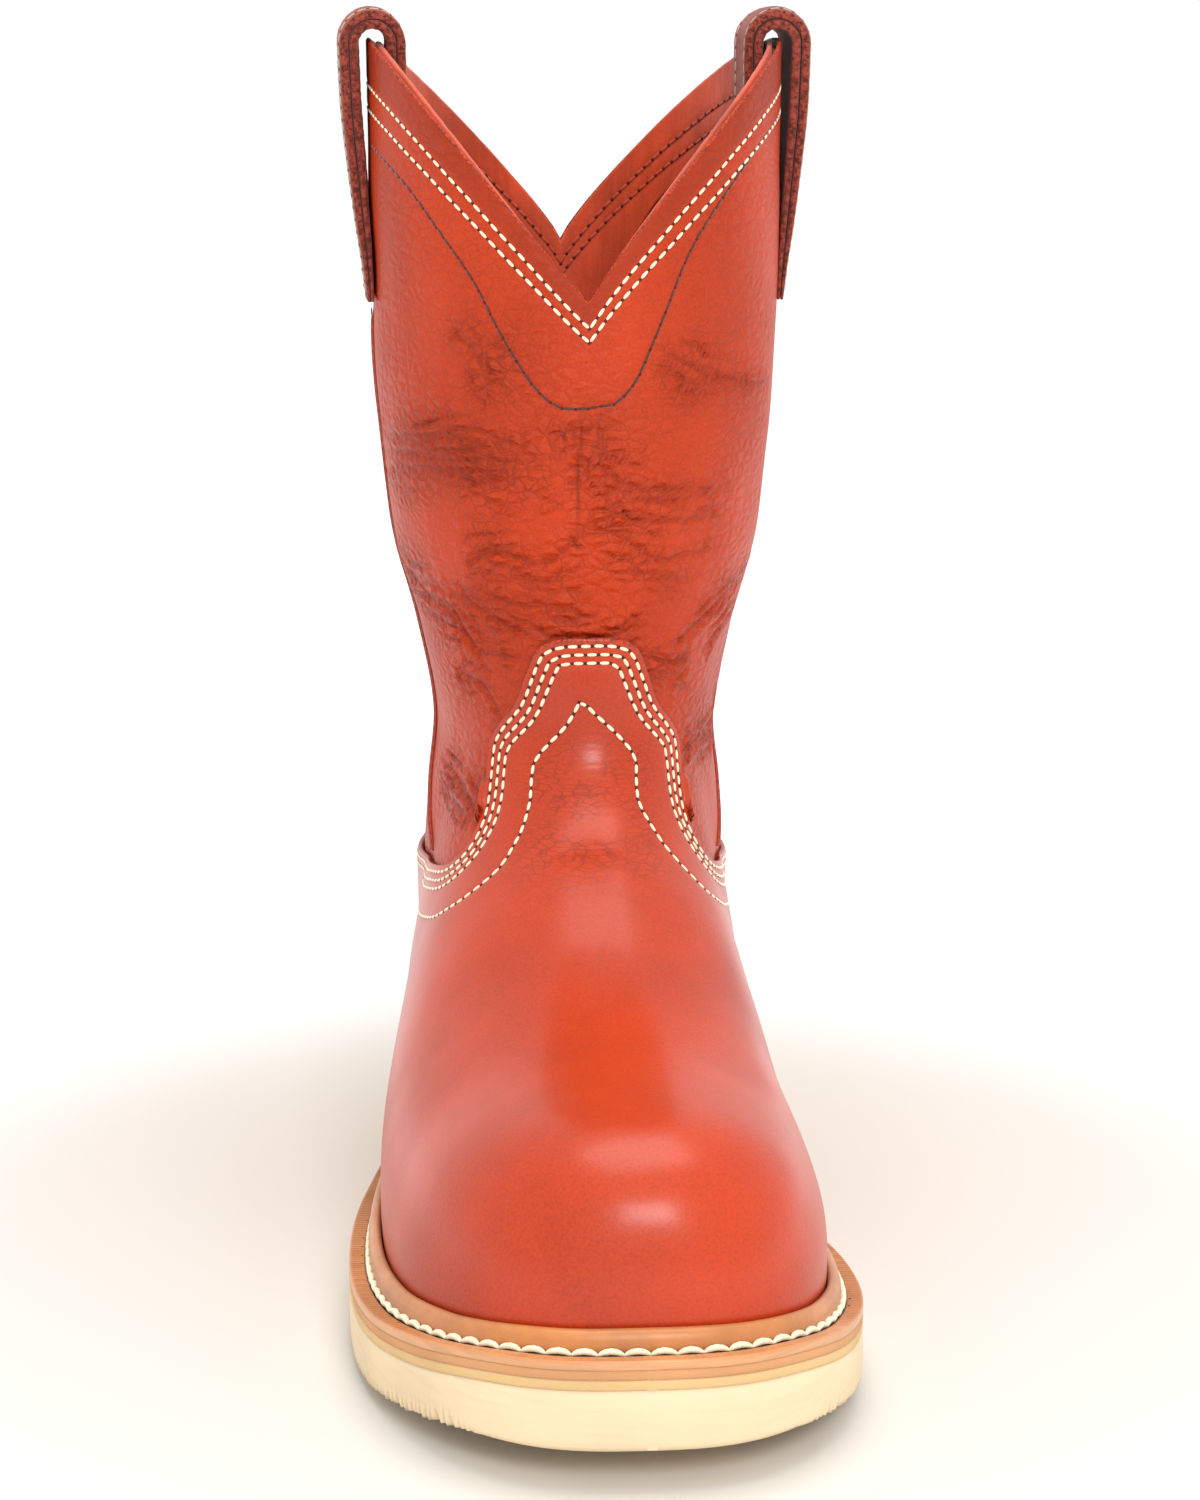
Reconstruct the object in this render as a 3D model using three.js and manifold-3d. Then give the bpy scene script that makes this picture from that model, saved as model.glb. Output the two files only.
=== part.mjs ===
// A right pull-on work boot with a stitched welt and a wedge sole.
// Millimetres, +Z up: the toe points to -Y and the inner, big toe side is +X.
import * as THREE from 'three';
import { mergeVertices } from 'three/addons/utils/BufferGeometryUtils.js';
import Module from 'manifold-3d';

const wasm = await Module();
wasm.setup();

// Main sizes of the boot
const FOOT_LENGTH = 289; // toe to heel of the upper, along the floor
const BALL_WIDTH = 95.4; // across the ball of the foot, at the edge of the sole
const INSTEP_RISE = 94; // instep ridge over the sole
const SOLE_RISE = 33; // top of the midsole over the floor, at the heel
const SHAFT_WIDTH = 107.6; // across the collar
const BOOT_HEIGHT = 302; // collar peaks over the floor
const COLLAR_FRONT_DIP = 63; // depth of the V in front
const COLLAR_BACK_DIP = 56; // depth of the V behind
const TOE_ROUND = 72; // length over which the toe rounds in, seen from above
const TOE_DROP = 45; // length over which the toe rounds down, seen from the side
const HEEL_ROUND = 33;
const HEEL_TUCK = 4; // the heel seat stands this far inside the back of the counter

// Leather and rubber
const UPPER_WALL = 2.2;
const OVERLAY_WALL = 1.6; // vamp and counter
const FACING_WALL = 1.2;
const SEAM_HEIGHT = 1.1;
const SEAM_WIDTH = 3.6;
const GAP = 0.3; // between curved pieces that touch
const JOINT_GAP = 0.5; // between vamp and counter, edge to edge
const WELT_THICK = 2.2;
const WELT_ROLL_HEIGHT = 5; // storm roll over the flat of the welt
const WELT_ROLL_WIDTH = 3.3;
const MIDSOLE_THICK = 2;
const SLIP_SOLE_THICK = 2;
const INSOLE_THICK = 3.5;
const INSOLE_CLEARANCE = 0.6;
const FRONT_MARGIN = 10.8; // sole edge outside the upper, in front
const REAR_MARGIN = 8; // and at waist and heel
const TOE_SPRING = 9.75; // sole tip over the floor
const SPRING_START = 0.68; // share of the length where the sole leaves the floor
const SPRING_POWER = 1.8;

// Pull straps over the collar peaks
const STRAP_WIDTH = 30;
const STRAP_THICK = 4.8;
const STRAP_END_THICK = 1.6;
const STRAP_ARCH_RISE = 3.7; // hollow of the arch over the collar edge
const STRAP_STAND_OFF = 2.4; // slack between strap and shaft near the top

// Mesh steps
const COLUMNS = 52;
const COLUMN_CROWDING = 0.45; // how much closer the columns stand at toe and heel
const LATTICE_COLUMNS = 144;
const LATTICE_ROWS = 72;
const RAY_STEP = 6;
const RAY_HALVINGS = 18;

// Sections across the foot. at: share of the length from heel to toe. middle, half, lean: shares
// of half the ball width. feather: share of the sole rise. ridge: share of the instep rise.
const FOOT = [
  { at: 0.00, middle: 0.000, half: 0.652, feather: 1.000, ridge: 0.51, lean: 0.00, power: 2.2, bulge: 0.15 },
  { at: 0.10, middle: 0.000, half: 0.652, feather: 0.985, ridge: 0.62, lean: -0.02, power: 2.2, bulge: 0.22 },
  { at: 0.22, middle: -0.017, half: 0.652, feather: 0.955, ridge: 0.75, lean: -0.03, power: 2.2, bulge: 0.33 },
  { at: 0.35, middle: -0.063, half: 0.663, feather: 0.848, ridge: 0.92, lean: 0.02, power: 2.1, bulge: 0.38 },
  { at: 0.45, middle: -0.109, half: 0.715, feather: 0.697, ridge: 1.00, lean: 0.10, power: 2.0, bulge: 0.36 },
  { at: 0.55, middle: -0.138, half: 0.820, feather: 0.576, ridge: 0.895, lean: 0.16, power: 2.0, bulge: 0.26 },
  { at: 0.65, middle: -0.117, half: 0.924, feather: 0.530, ridge: 0.725, lean: 0.14, power: 2.1, bulge: 0.15 },
  { at: 0.75, middle: -0.050, half: 1.000, feather: 0.530, ridge: 0.61, lean: 0.08, power: 2.3, bulge: 0.06 },
  { at: 0.85, middle: 0.000, half: 0.979, feather: 0.591, ridge: 0.555, lean: 0.04, power: 2.5, bulge: 0.02 },
  { at: 0.93, middle: 0.038, half: 0.904, feather: 0.682, ridge: 0.535, lean: 0.02, power: 2.6, bulge: 0.02 },
  { at: 1.00, middle: 0.055, half: 0.832, feather: 0.806, ridge: 0.51, lean: 0.00, power: 2.6, bulge: 0.02 },
  { at: 1.04, middle: 0.055, half: 0.832, feather: 0.850, ridge: 0.51, lean: 0.00, power: 2.6, bulge: 0.02 },
];

// Sections across the shaft. at: share of the boot height. half: share of half the shaft width.
// front, back: shares of the foot length, forward from the heel.
const SHAFT = [
  { at: 0.066, half: 0.555, front: 0.345, back: 0.021, power: 2.1 },
  { at: 0.119, half: 0.578, front: 0.359, back: 0.012, power: 2.1 },
  { at: 0.166, half: 0.680, front: 0.373, back: 0.002, power: 2.1 },
  { at: 0.215, half: 0.745, front: 0.391, back: 0.000, power: 2.1 },
  { at: 0.281, half: 0.757, front: 0.415, back: 0.009, power: 2.1 },
  { at: 0.348, half: 0.730, front: 0.438, back: 0.019, power: 2.1 },
  { at: 0.414, half: 0.697, front: 0.457, back: 0.026, power: 2.1 },
  { at: 0.497, half: 0.776, front: 0.474, back: 0.030, power: 2.15 },
  { at: 0.596, half: 0.905, front: 0.486, back: 0.028, power: 2.2 },
  { at: 0.728, half: 0.972, front: 0.491, back: 0.023, power: 2.2 },
  { at: 0.861, half: 0.993, front: 0.493, back: 0.018, power: 2.2 },
  { at: 1.000, half: 1.000, front: 0.495, back: 0.012, power: 2.2 },
];

// Rings that the wall is drawn through, from the sole (at 0) to the collar (at 1). centre: share of
// the length. height: share of the boot height. sole, collar: how far the ring follows either edge.
const RINGS = [
  { at: 0.00, centre: 0.505, height: 0.099, slope: 0.00, sole: 1.0, collar: 0.00 },
  { at: 0.12, centre: 0.505, height: 0.142, slope: -0.02, sole: 1.0, collar: 0.00 },
  { at: 0.24, centre: 0.488, height: 0.192, slope: -0.08, sole: 0.6, collar: 0.00 },
  { at: 0.36, centre: 0.440, height: 0.255, slope: -0.14, sole: 0.2, collar: 0.00 },
  { at: 0.48, centre: 0.357, height: 0.338, slope: -0.12, sole: 0.0, collar: 0.00 },
  { at: 0.60, centre: 0.281, height: 0.430, slope: -0.04, sole: 0.0, collar: 0.00 },
  { at: 0.72, centre: 0.260, height: 0.536, slope: 0.00, sole: 0.0, collar: 0.05 },
  { at: 0.86, centre: 0.256, height: 0.679, slope: 0.00, sole: 0.0, collar: 0.50 },
  { at: 1.00, centre: 0.253, height: 0.828, slope: 0.00, sole: 0.0, collar: 1.00 },
];

// Rows of the wall's mesh, as shares from sole to collar
const WALL_ROWS = [
  0, 0.057, 0.115, 0.17, 0.225, 0.28, 0.33, 0.38, 0.43, 0.48,
  0.53, 0.58, 0.63, 0.68, 0.74, 0.8, 0.86, 0.92, 0.96, 1,
];
const OVERLAY_TOP = 0.74; // the vamp's tongue ends below this row
const FACING_BOTTOM = 0.86;

// Top edge of the vamp: around is a share of the girth from the front centre, up a share of the wall.
// Its last row stands at the side joint.
const VAMP_EDGE = [
  { at: 0, around: 0.000, up: 0.700 },
  { at: 1, around: 0.020, up: 0.698 },
  { at: 2, around: 0.036, up: 0.688 },
  { at: 3, around: 0.046, up: 0.660 },
  { at: 4, around: 0.056, up: 0.628 },
  { at: 5, around: 0.073, up: 0.602 },
  { at: 6, around: 0.084, up: 0.580 },
  { at: 7, around: 0.087, up: 0.545 },
  { at: 8, around: 0.088, up: 0.505 },
  { at: 9, around: 0.094, up: 0.477 },
  { at: 10, around: 0.110, up: 0.455 },
  { at: 11, around: 0.140, up: 0.438 },
  { at: 12, around: 0.185, up: 0.430 },
  { at: 13, around: 0.242, up: 0.425 },
];
const VAMP_EDGE_STEPS = 2; // mesh steps from one row of the table to the next

// Top edge of the counter, at shares of its own length from either side joint to the heel, and the
// lower edge of the facing inside the collar, at shares of the girth
const COUNTER_EDGE = [
  { at: 0.00, up: 0.425 },
  { at: 0.20, up: 0.430 },
  { at: 0.37, up: 0.462 },
  { at: 0.50, up: 0.490 },
];
const COUNTER_STEPS = 20;
const FACING_EDGE = [
  { at: 0.00, up: 0.895 },
  { at: 0.03, up: 0.900 },
  { at: 0.05, up: 0.925 },
  { at: 0.08, up: 0.947 },
  { at: 0.15, up: 0.955 },
  { at: 0.25, up: 0.960 },
  { at: 0.42, up: 0.950 },
  { at: 0.47, up: 0.915 },
  { at: 0.50, up: 0.895 },
];
const FACING_STEPS = 48;

const LEATHER = { color: 0xb8472b, roughness: 0.5, metalness: 0 };
const PIPING = { color: 0x9c3a26, roughness: 0.6, metalness: 0 };
const STRAP_LEATHER = { color: 0x7e3023, roughness: 0.7, metalness: 0 };
const LINING = { color: 0xa8341f, roughness: 0.7, metalness: 0 };
const WELT_LEATHER = { color: 0xd9935c, roughness: 0.55, metalness: 0 };
const INSOLE_LEATHER = { color: 0xc79468, roughness: 0.8, metalness: 0 };
const THIN_LAYER = { color: 0xe6cb98, roughness: 0.7, metalness: 0 };
const CREPE = { color: 0xf6e6c4, roughness: 0.75, metalness: 0 };

function clamp(value, low, high) {
  return Math.min(Math.max(value, low), high);
}

function mix(a, b, share) {
  return a + (b - a) * share;
}

// 0 below a, 1 above b and a soft step between them
function ease(a, b, value) {
  const share = clamp((value - a) / (b - a), 0, 1);
  return share * share * (3 - 2 * share);
}

// A smooth function through one named column of a table
function through(table, name) {
  const at = table.map((row) => row.at);
  const value = table.map((row) => row[name]);
  const last = at.length - 1;
  const slope = value.map((_, i) => {
    const a = Math.max(i - 1, 0);
    const b = Math.min(i + 1, last);
    return (value[b] - value[a]) / (at[b] - at[a]);
  });
  return (where) => {
    const x = clamp(where, at[0], at[last]);
    let i = 0;
    while (i < last - 1 && x > at[i + 1]) i += 1;
    const run = at[i + 1] - at[i];
    const s = (x - at[i]) / run;
    const s2 = s * s;
    const s3 = s2 * s;
    return (2 * s3 - 3 * s2 + 1) * value[i] + (s3 - 2 * s2 + s) * run * slope[i]
      + (3 * s2 - 2 * s3) * value[i + 1] + (s3 - s2) * run * slope[i + 1];
  };
}

function columnsOf(table) {
  const columns = {};
  for (const name of Object.keys(table[0])) columns[name] = through(table, name);
  return columns;
}

const foot = columnsOf(FOOT);
const shaft = columnsOf(SHAFT);
const rings = columnsOf(RINGS);
const HALF_BALL = BALL_WIDTH / 2;
const HALF_SHAFT = SHAFT_WIDTH / 2;

// Share of the length at a place y, where y is 0 at the heel and minus the length at the toe.
// The last row of the table lies under the sole's edge, just past the toe.
function station(y) {
  return clamp(-y / FOOT_LENGTH, 0, FOOT[FOOT.length - 1].at);
}

function featherHeight(y) {
  return SOLE_RISE * foot.feather(station(y));
}

// How far a width has closed in at a distance from the end that it rounds towards
function closing(distance, reach, power) {
  const s = clamp(1 - distance / reach, 0, 1);
  return Math.max(1 - s ** power, 1e-9) ** (1 / power);
}

const TOE_ROUND_POWER = 3;
const TOE_DROP_POWER = 2.9;
const HEEL_ROUND_POWER = 2.1;
const BULGE_HEIGHT = 0.5; // share of the ridge height where the sides stand out most

// Distance outside the foot's form, roughly: negative inside
function footField(x, y, z) {
  const q = station(y);
  const fromToe = Math.max(y + FOOT_LENGTH, 0);
  const fromHeel = Math.max(-HEEL_TUCK - y, 0);
  const plan = closing(fromToe, TOE_ROUND, TOE_ROUND_POWER)
    * closing(fromHeel, HEEL_ROUND, HEEL_ROUND_POWER);
  const side = closing(fromToe, TOE_DROP, TOE_DROP_POWER)
    * closing(fromHeel, HEEL_ROUND, HEEL_ROUND_POWER);
  const base = SOLE_RISE * foot.feather(q);
  const rise = Math.max(INSTEP_RISE * foot.ridge(q) * side, 0.5);
  const up = (z - base) / rise;
  const bulge = clamp(up / BULGE_HEIGHT, 0, 1);
  const half = HALF_BALL * foot.half(q) * plan * (1 + foot.bulge(q) * bulge * (2 - bulge));
  const middle = HALF_BALL * (foot.middle(q) + foot.lean(q) * clamp(up, 0, 1.2));
  const power = foot.power(q);
  const across = Math.abs(x - middle);
  const over = Math.max(up, 0);
  const ratio = ((across / Math.max(half, 0.3)) ** power + over ** power) ** (1 / power);
  const reach = Math.hypot(across, Math.max(z - base, 0)) + 1e-6;
  const beyond = Math.max(-FOOT_LENGTH - y, y + HEEL_TUCK, 0);
  return Math.max(reach * (1 - 1 / Math.max(ratio, 1e-3)), -40) + 2 * beyond;
}

function shaftField(x, y, z) {
  const at = z / BOOT_HEIGHT;
  const front = -FOOT_LENGTH * shaft.front(at);
  const back = -FOOT_LENGTH * shaft.back(at);
  const half = HALF_SHAFT * shaft.half(at);
  const power = shaft.power(at);
  const along = y - (front + back) / 2;
  const ratio = ((Math.abs(x) / half) ** power
    + (Math.abs(along) / ((back - front) / 2)) ** power) ** (1 / power);
  const reach = Math.hypot(x, along) + 1e-6;
  return Math.max(reach * (1 - 1 / Math.max(ratio, 1e-3)), -60);
}

const THROAT_BLEND = 32; // how softly the instep runs into the shaft
const ANKLE_BLEND = 6;
const BLEND_FROM = 0.43; // shares of the length where the soft blend fades out
const BLEND_TO = 0.24;

// Distance outside the whole boot, foot and shaft joined by a soft blend
function field(x, y, z) {
  const a = footField(x, y, z);
  const b = shaftField(x, y, z);
  const fade = ease(-BLEND_FROM * FOOT_LENGTH, -BLEND_TO * FOOT_LENGTH, y);
  const blend = mix(THROAT_BLEND, ANKLE_BLEND, fade);
  const overlap = Math.max(blend - Math.abs(a - b), 0) / blend;
  return Math.min(a, b) - overlap * overlap * blend / 4;
}

const COLLAR_MIDDLE = 0.253; // share of the length where the collar peaks stand
const COLLAR_TURN = 0.028; // half the share over which front V turns to back V
const INNER_FRONT_POWER = 0.88; // the V runs a little steeper on the inner side
const OUTER_FRONT_POWER = 1;
const BACK_POWER = 0.85;

function collarHeight(x, y) {
  const share = clamp(Math.abs(x) / HALF_SHAFT, 0, 1);
  const power = mix(OUTER_FRONT_POWER, INNER_FRONT_POWER, ease(-6, 6, x));
  const front = BOOT_HEIGHT - COLLAR_FRONT_DIP * (1 - share ** power);
  const back = BOOT_HEIGHT - COLLAR_BACK_DIP * (1 - share ** BACK_POWER);
  const turn = -COLLAR_MIDDLE * FOOT_LENGTH;
  const half = COLLAR_TURN * FOOT_LENGTH;
  return mix(front, back, ease(turn - half, turn + half, y));
}

// Height of a ring over the plan place x, y. up is 0 at the sole and 1 at the collar.
function ringHeight(up, x, y) {
  const height = BOOT_HEIGHT * rings.height(up);
  const sole = clamp(rings.sole(up), 0, 1);
  const collar = clamp(rings.collar(up), 0, 1);
  const centre = -FOOT_LENGTH * rings.centre(up);
  const level = height + rings.slope(up) * (y - centre);
  const overSole = featherHeight(y) + height - BOOT_HEIGHT * RINGS[0].height;
  const underCollar = collarHeight(x, y) - BOOT_HEIGHT * RINGS[RINGS.length - 1].height + height;
  return sole * overSole + collar * underCollar + (1 - sole - collar) * level;
}

const CENTRE_SHIFT = 4; // the foot's rings are centred a little to the inner side

// The place where a ray from a ring's centre leaves the boot
function rayHit(up, angle) {
  const originX = CENTRE_SHIFT * (1 - ease(0, 0.45, up));
  const originY = -FOOT_LENGTH * rings.centre(up);
  const stepX = Math.sin(angle);
  const stepY = -Math.cos(angle);
  const outside = (r) => {
    const x = originX + stepX * r;
    const y = originY + stepY * r;
    return field(x, y, ringHeight(up, x, y)) > 0;
  };
  let far = 2 * RAY_STEP;
  while (!outside(far) && far < FOOT_LENGTH) far += RAY_STEP;
  let near = far - RAY_STEP;
  for (let i = 0; i < RAY_HALVINGS; i += 1) {
    const middle = (near + far) / 2;
    if (outside(middle)) far = middle;
    else near = middle;
  }
  const x = originX + stepX * far;
  const y = originY + stepY * far;
  return new THREE.Vector3(x, y, ringHeight(up, x, y));
}

// Points of one ring, evenly spaced along each half of its plan outline
function ringPoints(up, count) {
  const hits = [];
  for (let i = 0; i < count; i += 1) hits.push(rayHit(up, (2 * Math.PI * i) / count));
  const half = count / 2;
  const spaced = [];
  for (const start of [0, half]) {
    const lengths = [0];
    for (let i = 0; i < half; i += 1) {
      const a = hits[start + i];
      const b = hits[(start + i + 1) % count];
      lengths.push(lengths[i] + Math.hypot(b.x - a.x, b.y - a.y));
    }
    let i = 0;
    for (let k = 0; k < half; k += 1) {
      const wanted = (lengths[half] * k) / half;
      while (lengths[i + 1] < wanted) i += 1;
      const share = (wanted - lengths[i]) / (lengths[i + 1] - lengths[i]);
      spaced.push(hits[start + i].clone().lerp(hits[(start + i + 1) % count], share));
    }
  }
  return spaced;
}

// The boot's outer surface as a lattice of points with their outward directions
function makeLattice() {
  const points = [];
  for (let k = 0; k <= LATTICE_ROWS; k += 1) points.push(ringPoints(k / LATTICE_ROWS, LATTICE_COLUMNS));
  const normals = points.map((ring, k) => ring.map((_, i) => {
    const next = ring[(i + 1) % LATTICE_COLUMNS];
    const before = ring[(i + LATTICE_COLUMNS - 1) % LATTICE_COLUMNS];
    const above = points[Math.min(k + 1, LATTICE_ROWS)][i];
    const below = points[Math.max(k - 1, 0)][i];
    const around = next.clone().sub(before);
    const upward = above.clone().sub(below);
    return around.cross(upward).normalize();
  }));
  return { points, normals };
}

const lattice = makeLattice();

function latticeValue(grid, around, up) {
  const column = (((around % 1) + 1) % 1) * LATTICE_COLUMNS;
  const row = clamp(up, 0, 1) * LATTICE_ROWS;
  const i = Math.floor(column) % LATTICE_COLUMNS;
  const k = Math.min(Math.floor(row), LATTICE_ROWS - 1);
  const next = (i + 1) % LATTICE_COLUMNS;
  const a = grid[k][i].clone().lerp(grid[k][next], column - Math.floor(column));
  const b = grid[k + 1][i].clone().lerp(grid[k + 1][next], column - Math.floor(column));
  return a.lerp(b, row - k);
}

// A place on the boot: around its girth from the front centre, up the wall, and off the surface.
// The bottom edge keeps to the top of the midsole, and past the wall's ends a place goes straight on.
function place(around, up, off) {
  const point = latticeValue(lattice.points, around, up);
  const normal = latticeValue(lattice.normals, around, up);
  const lifted = clamp(up / WALL_ROWS[1], 0, 1);
  const seat = featherHeight(point.y);
  normal.z *= lifted;
  normal.normalize();
  point.addScaledVector(normal, off);
  point.z += (featherHeight(point.y) - seat) * (1 - lifted);
  point.z += GAP + (up - clamp(up, 0, 1)) * BOOT_HEIGHT;
  return point;
}

// Crowds the columns at toe and heel, where the outline turns most
function columnShare(i) {
  const even = i / COLUMNS;
  return even - (COLUMN_CROWDING / (4 * Math.PI)) * Math.sin(4 * Math.PI * even);
}

function geometryOf(vertices, triangles) {
  const geometry = new THREE.BufferGeometry();
  const flat = vertices.flatMap((v) => [v.x, v.y, v.z]);
  geometry.setAttribute('position', new THREE.Float32BufferAttribute(flat, 3));
  geometry.setIndex(triangles);
  return geometry;
}

function solidOf(geometry) {
  const bare = geometry.clone();
  bare.deleteAttribute('normal');
  bare.deleteAttribute('uv');
  const merged = mergeVertices(bare, 1e-4);
  return new wasm.Manifold(new wasm.Mesh({
    numProp: 3,
    vertProperties: new Float32Array(merged.attributes.position.array),
    triVerts: new Uint32Array(merged.index.array),
  }));
}

function geometryFrom(solid) {
  const mesh = solid.getMesh();
  const geometry = new THREE.BufferGeometry();
  geometry.setAttribute('position', new THREE.BufferAttribute(new Float32Array(mesh.vertProperties), 3));
  geometry.setIndex(new THREE.BufferAttribute(new Uint32Array(mesh.triVerts), 1));
  return geometry;
}

function quad(triangles, a, b, c, d) {
  triangles.push(a, b, c, a, c, d);
}

// A closed band right round the boot, between two offsets, with the wall's own columns
function band(rows, inner, outer) {
  const vertices = [];
  for (const off of [outer, inner]) {
    for (const up of rows) {
      for (let i = 0; i < COLUMNS; i += 1) vertices.push(place(columnShare(i), up, off));
    }
  }
  const triangles = [];
  const last = rows.length - 1;
  const at = (side, k, i) => (side * rows.length + k) * COLUMNS + (i % COLUMNS);
  for (let i = 0; i < COLUMNS; i += 1) {
    for (let k = 0; k < last; k += 1) {
      quad(triangles, at(0, k, i), at(0, k, i + 1), at(0, k + 1, i + 1), at(0, k + 1, i));
      quad(triangles, at(1, k, i), at(1, k + 1, i), at(1, k + 1, i + 1), at(1, k, i + 1));
    }
    quad(triangles, at(0, 0, i), at(1, 0, i), at(1, 0, i + 1), at(0, 0, i + 1));
    quad(triangles, at(0, last, i), at(0, last, i + 1), at(1, last, i + 1), at(1, last, i));
  }
  return geometryOf(vertices, triangles);
}

// A closed slab from a grid of outer points and the matching grid of inner points
function slab(outer, inner) {
  const rows = outer.length;
  const columns = outer[0].length;
  const vertices = [...outer.flat(), ...inner.flat()];
  const triangles = [];
  const at = (side, k, i) => (side * rows + k) * columns + i;
  for (let k = 0; k < rows - 1; k += 1) {
    for (let i = 0; i < columns - 1; i += 1) {
      quad(triangles, at(0, k, i), at(0, k, i + 1), at(0, k + 1, i + 1), at(0, k + 1, i));
      quad(triangles, at(1, k, i), at(1, k + 1, i), at(1, k + 1, i + 1), at(1, k, i + 1));
    }
    quad(triangles, at(0, k, 0), at(0, k + 1, 0), at(1, k + 1, 0), at(1, k, 0));
    const end = columns - 1;
    quad(triangles, at(0, k, end), at(1, k, end), at(1, k + 1, end), at(0, k + 1, end));
  }
  for (let i = 0; i < columns - 1; i += 1) {
    quad(triangles, at(0, 0, i), at(1, 0, i), at(1, 0, i + 1), at(0, 0, i + 1));
    const end = rows - 1;
    quad(triangles, at(0, end, i), at(0, end, i + 1), at(1, end, i + 1), at(1, end, i));
  }
  return geometryOf(vertices, triangles);
}

const CUT_IN = -6; // a region's form reaches this far inside and outside the surface
const CUT_OUT = 8;
const REGION_ROWS = 16;

// A thick form over the part of the wall between a low and a high edge, to cut overlays out with.
// edge is a list of columns {around, low, high} in order round the boot, and around may be a
// number or a function of the place up the wall.
function region(edge) {
  const sides = [CUT_OUT, CUT_IN].map((off) => {
    const rows = [];
    for (let k = 0; k <= REGION_ROWS; k += 1) {
      rows.push(edge.map(({ around, low, high }) => {
        const up = mix(low, high, k / REGION_ROWS);
        return place(typeof around === 'function' ? around(up) : around, up, off);
      }));
    }
    return rows;
  });
  return solidOf(slab(sides[0], sides[1]));
}

function cutOut(form, ...regions) {
  return geometryFrom(regions.reduce((solid, part) => solid.intersect(part), solidOf(form)));
}

const BELOW_SOLE = -0.02; // a region starts this share below the wall, and ends above it
const ABOVE_COLLAR = 1.02;
const GIRTH = 2 * FOOT_LENGTH + BALL_WIDTH; // close to the outline's length at the sole
const JOINT_SHARE = JOINT_GAP / GIRTH / 2;
const JOINT_TOP = VAMP_EDGE[VAMP_EDGE.length - 1];
const JOINT_FOOT_PLACE = 0.40; // share of the length where the side joint meets the sole
const JOINT_TOP_PLACE = 0.30; // and where it meets the top edge
const JOINT_SEARCH_STEPS = 24;
const vampEdge = columnsOf(VAMP_EDGE);
const counterEdge = columnsOf(COUNTER_EDGE);
const facingEdge = columnsOf(FACING_EDGE);

// The share of the girth, to either side of the front centre, where the side joint stands
function jointAround(where, sign) {
  const up = Math.min(where, JOINT_TOP.up);
  const y = -FOOT_LENGTH * mix(JOINT_FOOT_PLACE, JOINT_TOP_PLACE, Math.max(up, 0) / JOINT_TOP.up);
  let near = 0.1;
  let far = 0.4;
  for (let i = 0; i < JOINT_SEARCH_STEPS; i += 1) {
    const middle = (near + far) / 2;
    if (latticeValue(lattice.points, sign * middle, up).y < y) near = middle;
    else far = middle;
  }
  return near;
}

// Below the tongue the vamp's columns spread out to the side joint
function vampRegion() {
  const edge = [];
  const steps = JOINT_TOP.at * VAMP_EDGE_STEPS;
  for (let i = -steps; i <= steps; i += 1) {
    const at = Math.abs(i) / VAMP_EDGE_STEPS;
    const share = vampEdge.around(at) / JOINT_TOP.around;
    const sign = Math.sign(i);
    const around = (up) => sign * share * (jointAround(up, sign) - JOINT_SHARE);
    edge.push({ around, low: BELOW_SOLE, high: vampEdge.up(at) });
  }
  return region(edge);
}

function counterRegion() {
  const edge = [];
  for (let i = 0; i <= COUNTER_STEPS; i += 1) {
    const share = i / COUNTER_STEPS;
    const around = (up) => mix(
      jointAround(up, 1) + JOINT_SHARE,
      1 - jointAround(up, -1) - JOINT_SHARE,
      share,
    );
    edge.push({ around, low: BELOW_SOLE, high: counterEdge.up(Math.min(share, 1 - share)) });
  }
  return region(edge);
}

function overlayForm() {
  return band(WALL_ROWS.filter((up) => up <= OVERLAY_TOP), GAP, GAP + OVERLAY_WALL);
}

function upper() {
  return band(WALL_ROWS, -UPPER_WALL, 0);
}

function vamp() {
  return cutOut(overlayForm(), vampRegion());
}

function counter() {
  return cutOut(overlayForm(), counterRegion());
}

// The facing is cut from a closed band, so its region is a ring: two halves that overlap a little
function collarFacing() {
  const outer = -UPPER_WALL - GAP;
  const rows = WALL_ROWS.filter((up) => up >= FACING_BOTTOM);
  const form = solidOf(band(rows, outer - FACING_WALL, outer));
  const halves = [0, 0.5].map((start) => {
    const edge = [];
    for (let i = -1; i <= FACING_STEPS / 2; i += 1) {
      const around = start + i / FACING_STEPS;
      const folded = Math.min(Math.abs(around), Math.abs(1 - around));
      edge.push({ around, low: facingEdge.up(folded), high: ABOVE_COLLAR });
    }
    return region(edge);
  });
  return geometryFrom(form.intersect(halves[0].add(halves[1])));
}

// Where the sides of the boot stand: the seams and the straps sit on these lines
const SIDES = { medial: 0.25, lateral: -0.25 };
const SEAM_BOTTOM = 0.437;
const STRAP_BOTTOM = 0.872;
const SEAM_TOP = STRAP_BOTTOM - 0.008;
const SHAFT_GIRTH = 2 * (SHAFT_WIDTH + FOOT_LENGTH * (SHAFT[11].front - SHAFT[11].back)) * 0.79;

function sideSeam(side) {
  const half = SEAM_WIDTH / SHAFT_GIRTH / 2;
  const rows = [SEAM_BOTTOM, ...WALL_ROWS.filter((up) => up > SEAM_BOTTOM && up < SEAM_TOP), SEAM_TOP];
  const line = (off) => rows.map((up) => [-half, 0, half].map((step) => {
    const crown = step === 0 ? off : Math.min(off, GAP + SEAM_HEIGHT / 2);
    return place(side + step, up, crown);
  }));
  return slab(line(GAP + SEAM_HEIGHT), line(GAP));
}

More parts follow.
